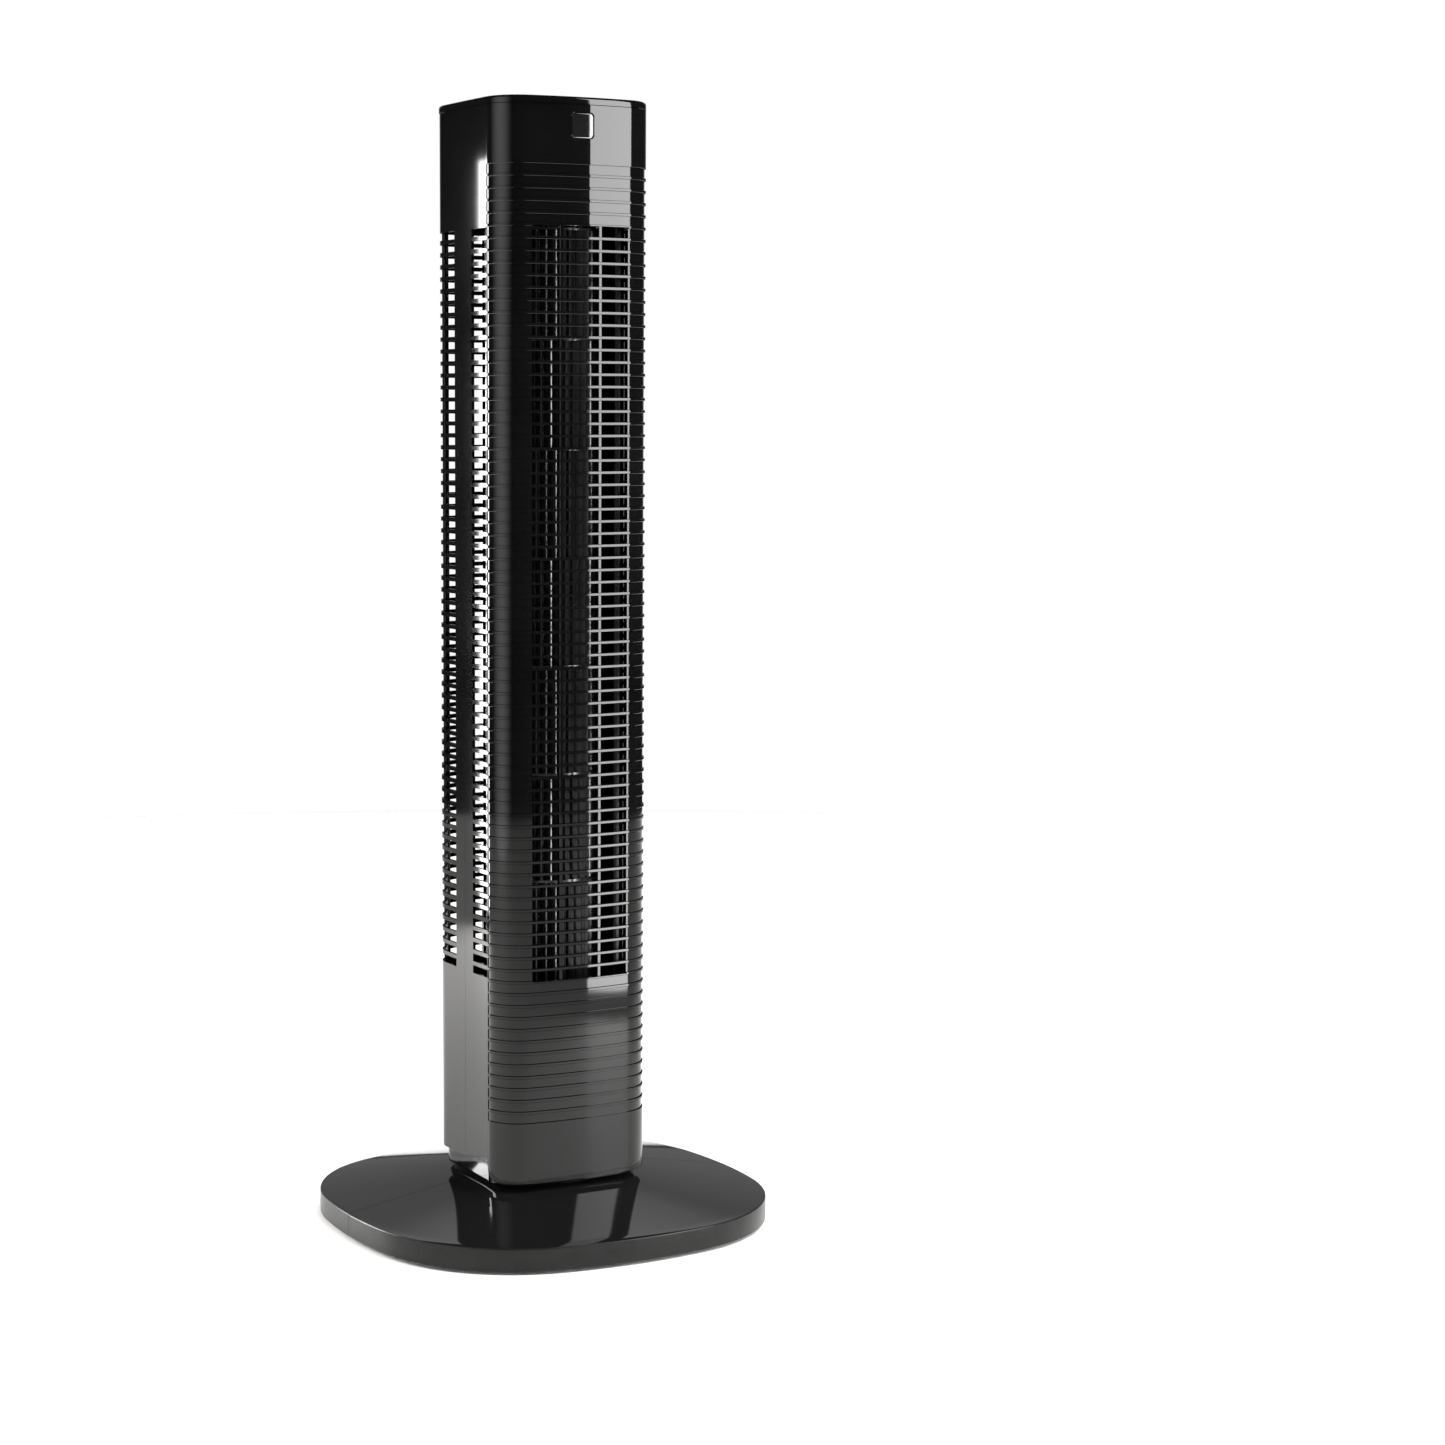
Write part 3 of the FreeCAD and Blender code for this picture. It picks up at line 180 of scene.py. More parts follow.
GLOSS = Finish("gloss_black", grey(0.0024), grey(0.0040), (0.03, 0.07), Grain.POLISHED, 9.0, 0.02,
               specular=0.32)
BASE_GLOSS = Finish("base_gloss", grey(0.0045), grey(0.0065), (0.04, 0.08), Grain.POLISHED, 7.0,
                    0.02)
RIM_SATIN = Finish("rim_satin", grey(0.007, 0.02), grey(0.011, 0.02), (0.24, 0.34), Grain.SPARKED,
                   60.0, 0.1, specular=0.2)
# painted shade: the same black as gloss_black with a weaker reflection, so the housing walls and
# the neck skirt read darker in place of the floor's shadow
SHADED_GLOSS = Finish("shaded_gloss", grey(0.0024), grey(0.0040), (0.03, 0.07), Grain.POLISHED, 9.0,
                    0.02, specular=0.15)
SATIN = Finish("satin_black", grey(0.010), grey(0.016), (0.36, 0.5), Grain.SPARKED, 70.0, 0.25)
INNER = Finish("inner_plastic", grey(0.003), grey(0.006), (0.42, 0.58), Grain.SPARKED, 60.0, 0.2)
BLADE = Finish("impeller_plastic", grey(0.012), grey(0.02), (0.12, 0.22), Grain.SPARKED, 50.0, 0.1)
ACETAL = Finish("white_acetal", (0.72, 0.70, 0.64), (0.80, 0.79, 0.74), (0.32, 0.44), Grain.SMOOTH)
STEEL = Finish("plated_steel", grey(0.42), grey(0.6), (0.22, 0.4), Grain.BRUSHED, 90.0, 0.15, 1.0)
BRONZE = Finish("bronze", (0.36, 0.23, 0.10), (0.52, 0.35, 0.17), (0.3, 0.45), Grain.SPARKED,
                90.0, 0.3, 1.0)
COPPER = Finish("copper_winding", (0.20, 0.07, 0.03), (0.42, 0.17, 0.07), (0.3, 0.5),
                Grain.BRUSHED, 120.0, 0.5, 0.8)
RUBBER = Finish("soft_rubber", grey(0.016), grey(0.026), (0.62, 0.8), Grain.SPARKED, 90.0, 0.3)
BOARD = Finish("circuit_board", (0.01, 0.09, 0.035), (0.02, 0.14, 0.06), (0.25, 0.4), Grain.SMOOTH,
               120.0, 0.1)
SLEEVE = Finish("wire_sleeve", grey(0.02), grey(0.032), (0.4, 0.5), Grain.SMOOTH)
LENS = Finish("display_glass", grey(0.006), grey(0.008), (0.02, 0.04), Grain.POLISHED, 12.0, 0.01,
              coat=0.5)
FLOOR = Finish("studio_floor", (0.86, 0.85, 0.83), (0.88, 0.87, 0.855), (0.5, 0.6))
PACKED = {finish.name: finish for finish in (GLOSS, SATIN, INNER, BLADE, ACETAL, STEEL, BRONZE,
                                             COPPER, RUBBER, BOARD, SLEEVE, LENS)}


# ---- meshes from grids --------------------------------------------------------------------------
def grid_faces(rows: int, columns: int, start: int = 0, wrap: bool = False,
               flip: bool = False) -> np.ndarray:
    """Quads of a grid whose vertex at (row, column) has index start + row x columns + column.

    Args:
        rows: number of rows of vertices.
        columns: number of vertices in a row.
        start: index of the grid's first vertex.
        wrap: whether each row closes on itself.
        flip: whether the quads face the other way.

    Returns:
        An (n, 4) array of vertex indices.
    """
    across = columns if wrap else columns - 1
    row, column = np.meshgrid(np.arange(rows - 1), np.arange(across), indexing="ij")
    following = (column + 1) % columns
    quads = np.stack([row * columns + column, row * columns + following,
                      (row + 1) * columns + following, (row + 1) * columns + column], axis=-1)
    quads = quads.reshape(-1, 4) + start
    return quads[:, ::-1] if flip else quads


def make_piece(name: str, points: np.ndarray, quads: np.ndarray, finish: Finish, body: str,
               slot: str, crease: float = 32.0) -> bpy.types.Object:
    """Make a mesh object, shade it smooth up to a crease angle, and let it ride on a body.

    Args:
        name: the piece's name.
        points: (n, 3) vertex places in metres.
        quads: (m, 4) vertex indices, facing outwards.
        finish: its finish.
        body: the CAD body that it rides on.
        slot: the record's material slot; not used.
        crease: edges that turn more than this many degrees stay sharp.

    Returns:
        The new object.
    """
    mesh = bpy.data.meshes.new(name)
    mesh.vertices.add(len(points))
    mesh.vertices.foreach_set("co", np.asarray(points, np.float32).ravel())
    mesh.loops.add(quads.size)
    mesh.loops.foreach_set("vertex_index", quads.astype(np.int32).ravel())
    mesh.polygons.add(len(quads))
    mesh.polygons.foreach_set("loop_start", np.arange(0, quads.size, 4, dtype=np.int32))
    mesh.update(calc_edges=True)
    mesh.validate()
    mesh.polygons.foreach_set("use_smooth", np.ones(len(mesh.polygons), bool))
    mesh.set_sharp_from_angle(angle=math.radians(crease))
    mesh.materials.append(finish.material())
    piece = bpy.data.objects.new(name, mesh)
    bpy.context.scene.collection.objects.link(piece)
    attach(piece, body)
    LOG.info("%s: %d vertices, %d faces, rides on %s", name, len(points), len(quads), body)
    return piece


def join_grids(parts: list[Mesh]) -> Mesh:
    """Stack several meshes into one: each one's indices grow by the vertices before it.

    Args:
        parts: the points and quads of each.

    Returns:
        All points and all quads.
    """
    points, quads, start = [], [], 0
    for vertices, faces in parts:
        points.append(vertices)
        quads.append(faces + start)
        start += len(vertices)
    return np.concatenate(points), np.concatenate(quads)


@dataclass(frozen=True)
class Section:
    """The tower's outline: a rounded square with bowed faces, measured along its own length.

    Four wide arcs are joined by four corner arcs.  A place on it is u, the length along the
    outline from the middle of the front face, positive towards +X, and an inset towards the axis.
    """

    half_x: float
    half_y: float
    side_bow: float = 1800 * MM
    front_bow: float = 340 * MM
    corner: float = 31 * MM
    corner_arcs: tuple[int, int] = (1, 3)
    front_share: float = 0.6
    samples: int = 4000

    def arcs(self) -> list[tuple[float, float, float, float, float]]:
        """Find the arcs of the +X half, with each corner arc touching both of its neighbours.

        A corner's centre lies (bow - corner) from the centre of each face's arc, so it is where
        two circles of those radii cross.

        Returns:
            The arcs from front to rear, as (centre x, centre y, radius, start, end).
        """
        side, front = self.half_x - self.side_bow, self.half_y - self.front_bow
        gap = math.hypot(side, front)
        reach_a, reach_b = self.side_bow - self.corner, self.front_bow - self.corner
        along = (reach_a ** 2 - reach_b ** 2 + gap ** 2) / (2 * gap)
        across = math.sqrt(reach_a ** 2 - along ** 2)
        unit = np.array([-side, front]) / gap
        x, y = np.array([side, 0.0]) + unit * along + np.array([-unit[1], unit[0]]) * across
        tilt_side, tilt_front = math.atan2(y, x - side), math.atan2(x, y - front)
        quarter = math.pi / 2
        return [(0.0, -front, self.front_bow, -quarter, -quarter + tilt_front),
                (x, -y, self.corner, -quarter + tilt_front, -tilt_side),
                (side, 0.0, self.side_bow, -tilt_side, tilt_side),
                (x, y, self.corner, tilt_side, quarter - tilt_front),
                (0.0, front, self.front_bow, quarter - tilt_front, quarter)]

    def marks(self) -> np.ndarray:
        """Lengths along the +X half at which each arc starts, and its whole length."""
        lengths = [radius * (end - start) for _, _, radius, start, end in self.arcs()]
        return np.concatenate([[0.0], np.cumsum(lengths)])

    def xy(self, u: np.ndarray, inset: np.ndarray | float) -> tuple[np.ndarray, np.ndarray]:
        """Places on the outline: centre + (radius - inset) x (cos, sin) of the angle.

        The angle is the arc's start + (|u| - length at its start) / radius.

        Args:
            u: lengths along the outline.
            inset: how far towards the axis, for all or for each.

        Returns:
            The x and the y of each place.
        """
        arcs, marks = np.array(self.arcs()), self.marks()
        along = np.abs(u)
        which = np.clip(np.searchsorted(marks, along, side="right") - 1, 0, len(arcs) - 1)
        centre_x, centre_y, radius, start, _ = np.moveaxis(arcs[which], -1, 0)
        angle = start + (along - marks[which]) / radius
        x = centre_x + (radius - inset) * np.cos(angle)
        y = centre_y + (radius - inset) * np.sin(angle)
        return np.where(u < 0, -x, x), y

    def _table(self) -> tuple[np.ndarray, np.ndarray, np.ndarray]:
        """A fine table of u, x and y over the +X half, for finding u from x or y."""
        u = np.linspace(0.0, self.marks()[-1], self.samples)
        return (u, *self.xy(u, 0.0))

    def u_front(self, x: float) -> float:
        """Length at which the front face reaches x.

        Args:
            x: the distance from the middle, negative on the -X side.

        Returns:
            The length u, with the sign of x.
        """
        u, xs, ys = self._table()
        near = ys < -self.half_y * self.front_share
        return math.copysign(float(np.interp(abs(x), xs[near], u[near])), x)

    def u_side(self, y: float) -> float:
        """Length at which the +X side reaches y."""
        u, _, ys = self._table()
        return float(np.interp(y, ys, u))

    def columns(self, low: float, high: float, corner_step: float = 1.8 * MM,
                face_step: float = 6.0 * MM) -> np.ndarray:
        """Column places from low to high: close together on corners, wider on the faces.

        Args:
            low: the first length.
            high: the last length.
            corner_step: the widest step on a corner arc.
            face_step: the widest step on a face's arc.

        Returns:
            Rising lengths, with one at every place where two arcs meet.
        """
        marks = self.marks()
        stops = np.unique(np.concatenate([-marks, marks]))
        inside = stops[(stops > low + TINY) & (stops < high - TINY)]
        edges = np.concatenate([[low], inside, [high]])
        pieces = []
        for start, end in zip(edges[:-1], edges[1:]):
            middle = abs(start + end) / 2
            arc = int(np.searchsorted(marks, middle) - 1)
            step = corner_step if arc in self.corner_arcs else face_step
            count = max(2, math.ceil((end - start) / step) + 1)
            pieces.append(np.linspace(start, end, count)[:-1])
        return np.concatenate(pieces + [[high]])


def wall(outer: np.ndarray, inner: np.ndarray, closed: bool = False) -> Mesh:
    """Close the space between an outer and an inner face, both rows x columns x 3 places.

    Args:
        outer: places of the outer face; columns run to the right and rows run up or inwards.
        inner: places of the inner face, of the same shape.
        closed: whether each row closes on itself.

    Returns:
        Points, and quads that face outwards, with strips along every open border.
    """
    rows, columns = outer.shape[:2]
    count, top = rows * columns, (rows - 1) * columns
    points = np.concatenate([outer.reshape(-1, 3), inner.reshape(-1, 3)])
    quads = [grid_faces(rows, columns, 0, closed), grid_faces(rows, columns, count, closed, True)]
    ring = np.arange(columns)
    following = np.roll(ring, -1) if closed else ring[1:]
    ring = ring if closed else ring[:-1]
    quads.append(np.stack([ring + count, following + count, following, ring], -1))
    quads.append(np.stack([ring + top, following + top, following + top + count,
                           ring + top + count], -1))
    if not closed:
        side = np.arange(rows - 1) * columns
        quads.append(np.stack([side, side + columns, side + columns + count, side + count], -1))
        side = side + columns - 1
        quads.append(np.stack([side + count, side + columns + count, side + columns, side], -1))
    return points, np.concatenate(quads)


def shell(section: Section, u: np.ndarray, z: np.ndarray, outer: np.ndarray | float,
          inner: np.ndarray | float, closed: bool = False) -> Mesh:
    """A wall of the section: place = section.xy(u, inset) at height z, for both insets.

    Args:
        section: the outline.
        u: lengths along it, as a row or as rows x columns.
        z: levels, as a column or as rows x columns.
        outer: insets of the outer face.
        inner: insets of the inner face.
        closed: whether the columns go all the way round.

    Returns:
        Points and outward-facing quads.
    """
    shape = np.broadcast_shapes(np.shape(u), np.shape(z))
    u, z = np.broadcast_to(u, shape), np.broadcast_to(z, shape)
    faces = [np.stack([*section.xy(u, np.broadcast_to(inset, shape)), z], -1)
             for inset in (outer, inner)]
    return wall(faces[0], faces[1], closed)


def with_ease(places: np.ndarray, ease: float) -> np.ndarray:
    """Places with one more just inside each end, where an eased edge starts."""
    return np.unique(np.concatenate([places, [places[0] + ease, places[-1] - ease]]))


def smoothed(value: np.ndarray) -> np.ndarray:
    """Smooth step: 3 t^2 - 2 t^3 of a value held between 0 and 1."""
    held = np.clip(value, 0.0, 1.0)
    return held * held * (3 - 2 * held)


# ---- sub-assemblies -----------------------------------------------------------------------------
@dataclass
class Cover:
    """Front cover: smooth bands, proud fins all the way down, and the open outlet window."""

    section: Section
    low: float = 47 * MM
    high: float = 933.5 * MM
    edge: float = 42 * MM
    thickness: float = 3.2 * MM
    first_fin: float = 97 * MM
    pitch: float = 10 * MM
    fins: int = 80
    fin: float = 2.4 * MM
    proud: float = 1.2 * MM
    ease: float = 0.3 * MM
    window_half: float = 44.5 * MM
    window_low: float = 217 * MM
    window_high: float = 837 * MM
    rib_place: float = 18 * MM
    rib: float = 3 * MM
    rib_ease: float = 0.4 * MM
    rib_inset: float = 2.4 * MM
    rib_depth: float = 4.5 * MM
    rib_rows: int = 40
    lens_height: float = 917 * MM
    lens_half: float = 10.3 * MM
    lens_corner: float = 3.4 * MM
    lens_gap: float = 0.35 * MM
    lens_inset: float = 0.12 * MM
    lens_back: float = 1.1 * MM
    lens_rows: int = 9
    seat_depth: float = 1.0 * MM
    seat_blend: float = 0.3 * MM
    seat_inside: float = 3.6 * MM
    seat_outside: float = 0.81 * MM
    seat_step: float = 0.2 * MM
    seat_clear: float = 1 * MM

    def levels(self, low: float, high: float) -> tuple[np.ndarray, np.ndarray]:
        """Levels and insets of the fins and grooves between two heights.

        Each fin is a short step: in at its foot, out over an ease, along, and back in.

        Args:
            low: the lowest level.
            high: the highest level.

        Returns:
            The levels, and the inset at each.
        """
        middles = self.first_fin + self.pitch * np.arange(self.fins)
        half, ease = self.fin / 2, self.ease
        rise = np.array([-half, -half, -half + ease, half - ease, half, half])
        inset = np.array([self.proud, ease, 0.0, 0.0, ease, self.proud])
        z = (middles[:, None] + rise).ravel()
        insets = np.broadcast_to(inset, (self.fins, len(inset))).ravel()
        # The bands under the first fin and over the last one stand as proud as the fins.
        z, insets = z[2:-2], insets[2:-2]
        inside = (z > low + TINY) & (z < high - TINY)
        ends = np.array([0.0])
        return (np.concatenate([[low], z[inside], [high]]),
                np.concatenate([ends, insets[inside], ends]))

    def sheet(self, low: float, high: float, u: np.ndarray) -> Mesh:
        """A stretch of the finned wall over columns u, with its rear edges eased.

        Args:
            low: its lowest level.
            high: its highest level.
            u: lengths of its columns.

        Returns:
            Points and outward-facing quads.
        """
        z, inset = self.levels(low, high)
        outer = np.broadcast_to(inset[:, None], (len(z), len(u))).copy()
        reach = self.section.u_side(-self.edge) - self.ease
        outer += np.where(np.abs(u) > reach + TINY, self.ease, 0.0)
        return shell(self.section, u, z[:, None], outer, self.thickness)

    def top_sheet(self, u: np.ndarray) -> Mesh:
        """The top band with a sunk seat for the lens.

        The inset grows from 0 to the seat's depth as the signed distance to a rounded square
        falls below zero.

        Args:
            u: lengths of the band's columns.

        Returns:
            Points and outward-facing quads.
        """
        z, inset = self.levels(self.window_high, self.high)
        near = self.lens_half + np.arange(-self.seat_inside, self.seat_outside, self.seat_step)
        fine_z = self.lens_height + np.concatenate([-near[::-1], near])
        z_all = np.concatenate([z[:-1], fine_z, z[-1:]])
        inset = np.concatenate([inset[:-1], np.zeros(len(fine_z)), inset[-1:]])
        beside = u[np.abs(u) > self.lens_half + self.seat_clear]
        u_all = np.unique(np.concatenate([beside, -near, near]))
        wide, tall = np.meshgrid(u_all, z_all - self.lens_height)
        straight = self.lens_half - self.lens_corner
        past = np.maximum(np.stack([np.abs(wide), np.abs(tall)]) - straight, 0.0)
        distance = np.hypot(past[0], past[1]) - self.lens_corner
        sunk = smoothed(0.5 - distance / self.seat_blend) * self.seat_depth
        return shell(self.section, u_all, z_all[:, None], inset[:, None] + sunk, self.thickness)

    def bars(self) -> Mesh:
        """The window's fins: an eased bar profile carried along the front face at each level.

        Point = section.xy(u, inset) at level + rise, for each level, u and profile corner.

        Returns:
            Points and outward-facing quads.
        """
        half, ease = self.fin / 2, self.ease
        profile = np.array([[ease, half], [0, half - ease], [0, ease - half], [ease, -half],
                            [self.thickness, -half], [self.thickness, half]])
        reach = self.section.u_front(self.window_half)
        u = self.section.columns(-reach, reach)
        level = self.first_fin + self.pitch * np.arange(self.fins)
        level = level[(level > self.window_low + MM) & (level < self.window_high - MM)]
        shape = (len(level), len(u), len(profile))
        x, y = self.section.xy(np.broadcast_to(u[None, :, None], shape),
                               np.broadcast_to(profile[:, 0], shape))
        z = np.broadcast_to(level[:, None, None] + profile[:, 1], shape)
        points = np.stack([x, y, z], -1).reshape(-1, 3)
        rows, columns = len(u), len(profile)
        first_end = np.array([[5, 4, 1, 0], [4, 3, 2, 1]])
        last_end = (rows - 1) * columns + first_end[:, ::-1]
        one = np.concatenate([grid_faces(rows, columns, wrap=True), first_end, last_end])
        starts = np.arange(len(level))[:, None, None] * rows * columns
        return points, (one + starts).reshape(-1, 4)

    def ribs(self) -> Mesh:
        """The window's two upright ribs: an eased rectangle carried straight up.

        Returns:
            Points and outward-facing quads.
        """
        half, ease = self.rib / 2, self.rib_ease
        z = np.linspace(self.window_low, self.window_high, self.rib_rows)[:, None]
        across = np.array([-half, ease - half, half - ease, half])
        return join_grids([
            shell(self.section, side * self.section.u_front(self.rib_place) + across, z,
                  self.rib_inset + np.array([ease, 0.0, 0.0, ease]),
                  self.rib_inset + self.rib_depth)
            for side in (-1, 1)])

    def build(self) -> None:
        """Make the cover's pieces."""
        reach = self.section.u_side(-self.edge)
        whole = with_ease(self.section.columns(-reach, reach), self.ease)
        start = self.section.u_front(self.window_half)
        right = with_ease(self.section.columns(start, reach), self.ease)
        pieces = {
            "cover_bottom": self.sheet(self.low, self.window_low, whole),
            "cover_left": self.sheet(self.window_low, self.window_high, -right[::-1]),
            "cover_right": self.sheet(self.window_low, self.window_high, right),
            "cover_top": self.top_sheet(whole),
            "window_fins": self.bars(),
            "window_ribs": self.ribs(),
        }
        for name, (points, quads) in pieces.items():
            piece = make_piece(name, points, quads, GLOSS, "tower", "gloss_black")
            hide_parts("front_grille")
        lens = self.lens()
        piece = make_piece("status_lens", *lens, LENS, "tower", "display_glass",
                           crease=SOFT_CREASE)
        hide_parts("display_lens")

    def lens(self) -> Mesh:
        """Rounded-square lens: a square grid whose corners are drawn in to their arcs.

        A place past both straight parts is moved onto a quarter circle round the corner's centre,
        in proportion to how far out it lies.

        Returns:
            Points and outward-facing quads.
        """
        half = self.lens_half - self.lens_gap
        straight = half - self.lens_corner
        corner = np.linspace(straight, half, self.lens_rows)
        line = np.unique(np.concatenate([np.linspace(-straight, straight, self.lens_rows),
                                         corner, -corner]))
        u, z = np.meshgrid(line, line)
        past = np.maximum(np.abs(np.stack([u, z])) - straight, 0.0)
        both = (past[0] > 0) & (past[1] > 0)
        length = np.where(both, np.hypot(*past), 1.0)
        scale = np.where(both, np.max(past, axis=0) / length, 1.0)
        place = np.where(past > 0, straight + past * scale, np.abs(np.stack([u, z])))
        place *= np.sign(np.stack([u, z]))
        rim = np.zeros_like(u)
        rim[[0, -1], :] = rim[:, [0, -1]] = self.lens_gap
        return shell(self.section, place[0], place[1] + self.lens_height, rim + self.lens_inset,
                     self.lens_back)


@dataclass
class SlottedShell:
    """Front and rear half shells: smooth walls with columns of air slots between thin rungs."""

    section: Section
    low: float = 58 * MM
    high: float = 933.5 * MM
    step: float = 0.6 * MM
    thickness: float = 2.5 * MM
    slots_low: float = 218.7 * MM
    slots_high: float = 835.3 * MM
    pitch: float = 10 * MM
    rung: float = 3.4 * MM
    row_step: float = 40 * MM
    seam: float = 0.1 * MM
    edge: float = 41.7 * MM
    front_slots: tuple[float, float] = (41.2 * MM, 15 * MM)
    side_slots: tuple[float, float] = (60 * MM, 17 * MM)
    back_slots: tuple[float, float, float] = (18 * MM, 22 * MM, 58 * MM)
    frame_inset: float = 3.5 * MM
    frame_edge: float = 36 * MM
    frame_low: float = 72.3 * MM
    frame_high: float = 900 * MM
    frame_rows: int = 6
    window_half: float = 44.5 * MM
    window_low: float = 217 * MM
    window_high: float = 837 * MM
    handle_half: float = 42.3 * MM
    handle_low: float = 869.7 * MM
    handle_high: float = 902.3 * MM

    def block(self, start: float, end: float, low: float, high: float) -> Mesh:
        """A closed stretch of wall from u = start to end and from low to high.

        Args:
            start: the length at which it starts.
            end: the length at which it ends.
            low: its lowest level.
            high: its highest level.

        Returns:
            Points and outward-facing quads.
        """
        u = self.section.columns(start, end)
        rows = max(2, math.ceil((high - low) / self.row_step) + 1)
        z = np.linspace(low, high, rows)[:, None]
        return shell(self.section, u, z, self.step, self.step + self.thickness)

    def rungs(self, start: float, end: float) -> Mesh:
        """Every rung of a slot column: the same short block, lifted by a pitch each time.

        Args:
            start: the length at which the column starts.
            end: the length at which it ends.

        Returns:
            Points and outward-facing quads.
        """
        u = self.section.columns(start, end)
        half = np.array([[-self.rung / 2], [self.rung / 2]])
        points, quads = shell(self.section, u, half, self.step, self.step + self.thickness)
        level = np.arange(self.slots_low + self.pitch - self.rung / 2, self.slots_high, self.pitch)
        lift = np.zeros((len(level), 1, 3))
        lift[:, 0, 2] = level
        starts = np.arange(len(level))[:, None, None] * len(points)
        return (points + lift).reshape(-1, 3), (quads + starts).reshape(-1, 4)

    def half_shell(self, stops: list[float]) -> Mesh:
        """The slotted zone: stretches between stops are posts and slot columns by turns.

        Args:
            stops: rising lengths; the first stretch is a post.

        Returns:
            Points and outward-facing quads.
        """
        parts = []
        for index, (start, end) in enumerate(zip(stops[:-1], stops[1:])):
            parts.append(self.rungs(start, end) if index % 2 else
                         self.block(start, end, self.slots_low, self.slots_high))
        return join_grids(parts)

    def front(self) -> Mesh:
        """Both sides from the cover's edge back to the seam, and the frame behind the cover.

        Returns:
            Points and outward-facing quads.
        """
        at = self.section.u_side
        stops = [at(-place) for place in (self.edge, *self.front_slots, self.seam)]
        parts = []
        for mirror in (1, -1):
            ends = stops if mirror > 0 else [-stop for stop in stops[::-1]]
            parts.append(self.half_shell(ends))
            parts.append(self.block(ends[0], ends[-1], self.low, self.slots_low))
            parts.append(self.block(ends[0], ends[-1], self.slots_high, self.high))
        inner, outer = self.section.u_front(self.window_half), at(-self.frame_edge)
        for start, end, low, high in ((-outer, outer, self.frame_low, self.window_low),
                                      (-outer, outer, self.window_high, self.frame_high),
                                      (inner, outer, self.window_low, self.window_high),
                                      (-outer, -inner, self.window_low, self.window_high)):
            u = self.section.columns(start, end)
            z = np.linspace(low, high, self.frame_rows)[:, None]
            parts.append(shell(self.section, u, z, self.frame_inset,
                               self.frame_inset + self.thickness))
        return join_grids(parts)

    def rear(self) -> Mesh:
        """The rear half from seam to seam, with its slot columns and the handle opening.

        The rear is laid out as a front would be, and then turned half round.

        Returns:
            Points and outward-facing quads.
        """
        side, face = self.section.u_side, self.section.u_front
        right = [face(place) for place in self.back_slots]
        right += [side(-place) for place in (*self.side_slots, self.seam)]
        stops = [-stop for stop in right[::-1]] + right
        zone = [self.half_shell(stops)]
        ends, gap = right[-1], face(self.handle_half)
        zone.append(self.block(-ends, ends, self.low, self.slots_low))
        zone.append(self.block(-ends, ends, self.slots_high, self.handle_low))
        zone.append(self.block(-ends, -gap, self.handle_low, self.handle_high))
        zone.append(self.block(gap, ends, self.handle_low, self.handle_high))
        zone.append(self.block(-ends, ends, self.handle_high, self.high))
        points, quads = join_grids(zone)
        return points * np.array([-1.0, -1.0, 1.0]), quads

    def build(self) -> None:
        """Make both half shells."""
        for name, mesh in (("front_housing", self.front()), ("rear_housing", self.rear())):
            piece = make_piece(f"{name}_shell", *mesh, SHADED_GLOSS, "tower", "gloss_black")
            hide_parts(name)


@dataclass
class Neck:
    """Gloss skirt under the tower, with its floor round the pivot."""

    section: Section
    low: float = 43.5 * MM
    floor: float = 3 * MM
    top: float = 72 * MM
    inset: float = 5.5 * MM
    thickness: float = 2.5 * MM
    bore: float = 16.05 * MM
    ease: tuple[float, ...] = (0.0, 0.15 * MM, 0.45 * MM, 0.9 * MM)
    straight: float = 2 * MM
    wall_rows: int = 8
    floor_rows: int = 10

    def build(self) -> None:
        """Make the skirt's wall and its floor.

        The wall's foot is eased: the inset falls as the level rises, by the same steps in
        reverse.  The floor's point = wall x (1 - share) + bore x (cos, sin) x share.
        """
        whole = self.section.marks()[-1]
        u = self.section.columns(-whole, whole)[:-1]
        z = np.concatenate([self.low + np.array(self.ease),
                            np.linspace(self.low + self.straight, self.top, self.wall_rows)])
        round_in = np.zeros(len(z))
        round_in[:len(self.ease)] = self.ease[::-1]
        skirt = shell(self.section, u, z[:, None], (self.inset + round_in)[:, None],
                      self.inset + self.thickness, closed=True)
        piece = make_piece("neck_wall", *skirt, SHADED_GLOSS, "tower", "gloss_black",
                           crease=SOFT_CREASE)
        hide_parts("neck_skirt")
        x, y = self.section.xy(u, self.inset + self.thickness / 2)
        share = np.linspace(0.0, 1.0, self.floor_rows)[:, None]
        angle = np.arctan2(y, x)
        flat = [np.stack(np.broadcast_arrays(x * (1 - share) + self.bore * np.cos(angle) * share,
                                             y * (1 - share) + self.bore * np.sin(angle) * share,
                                             level), -1)
                for level in (self.low + self.floor, self.low)]
        piece = make_piece("neck_floor", *wall(flat[0], flat[1], closed=True), SATIN, "tower",
                           "satin_black")
        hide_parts("neck_skirt")


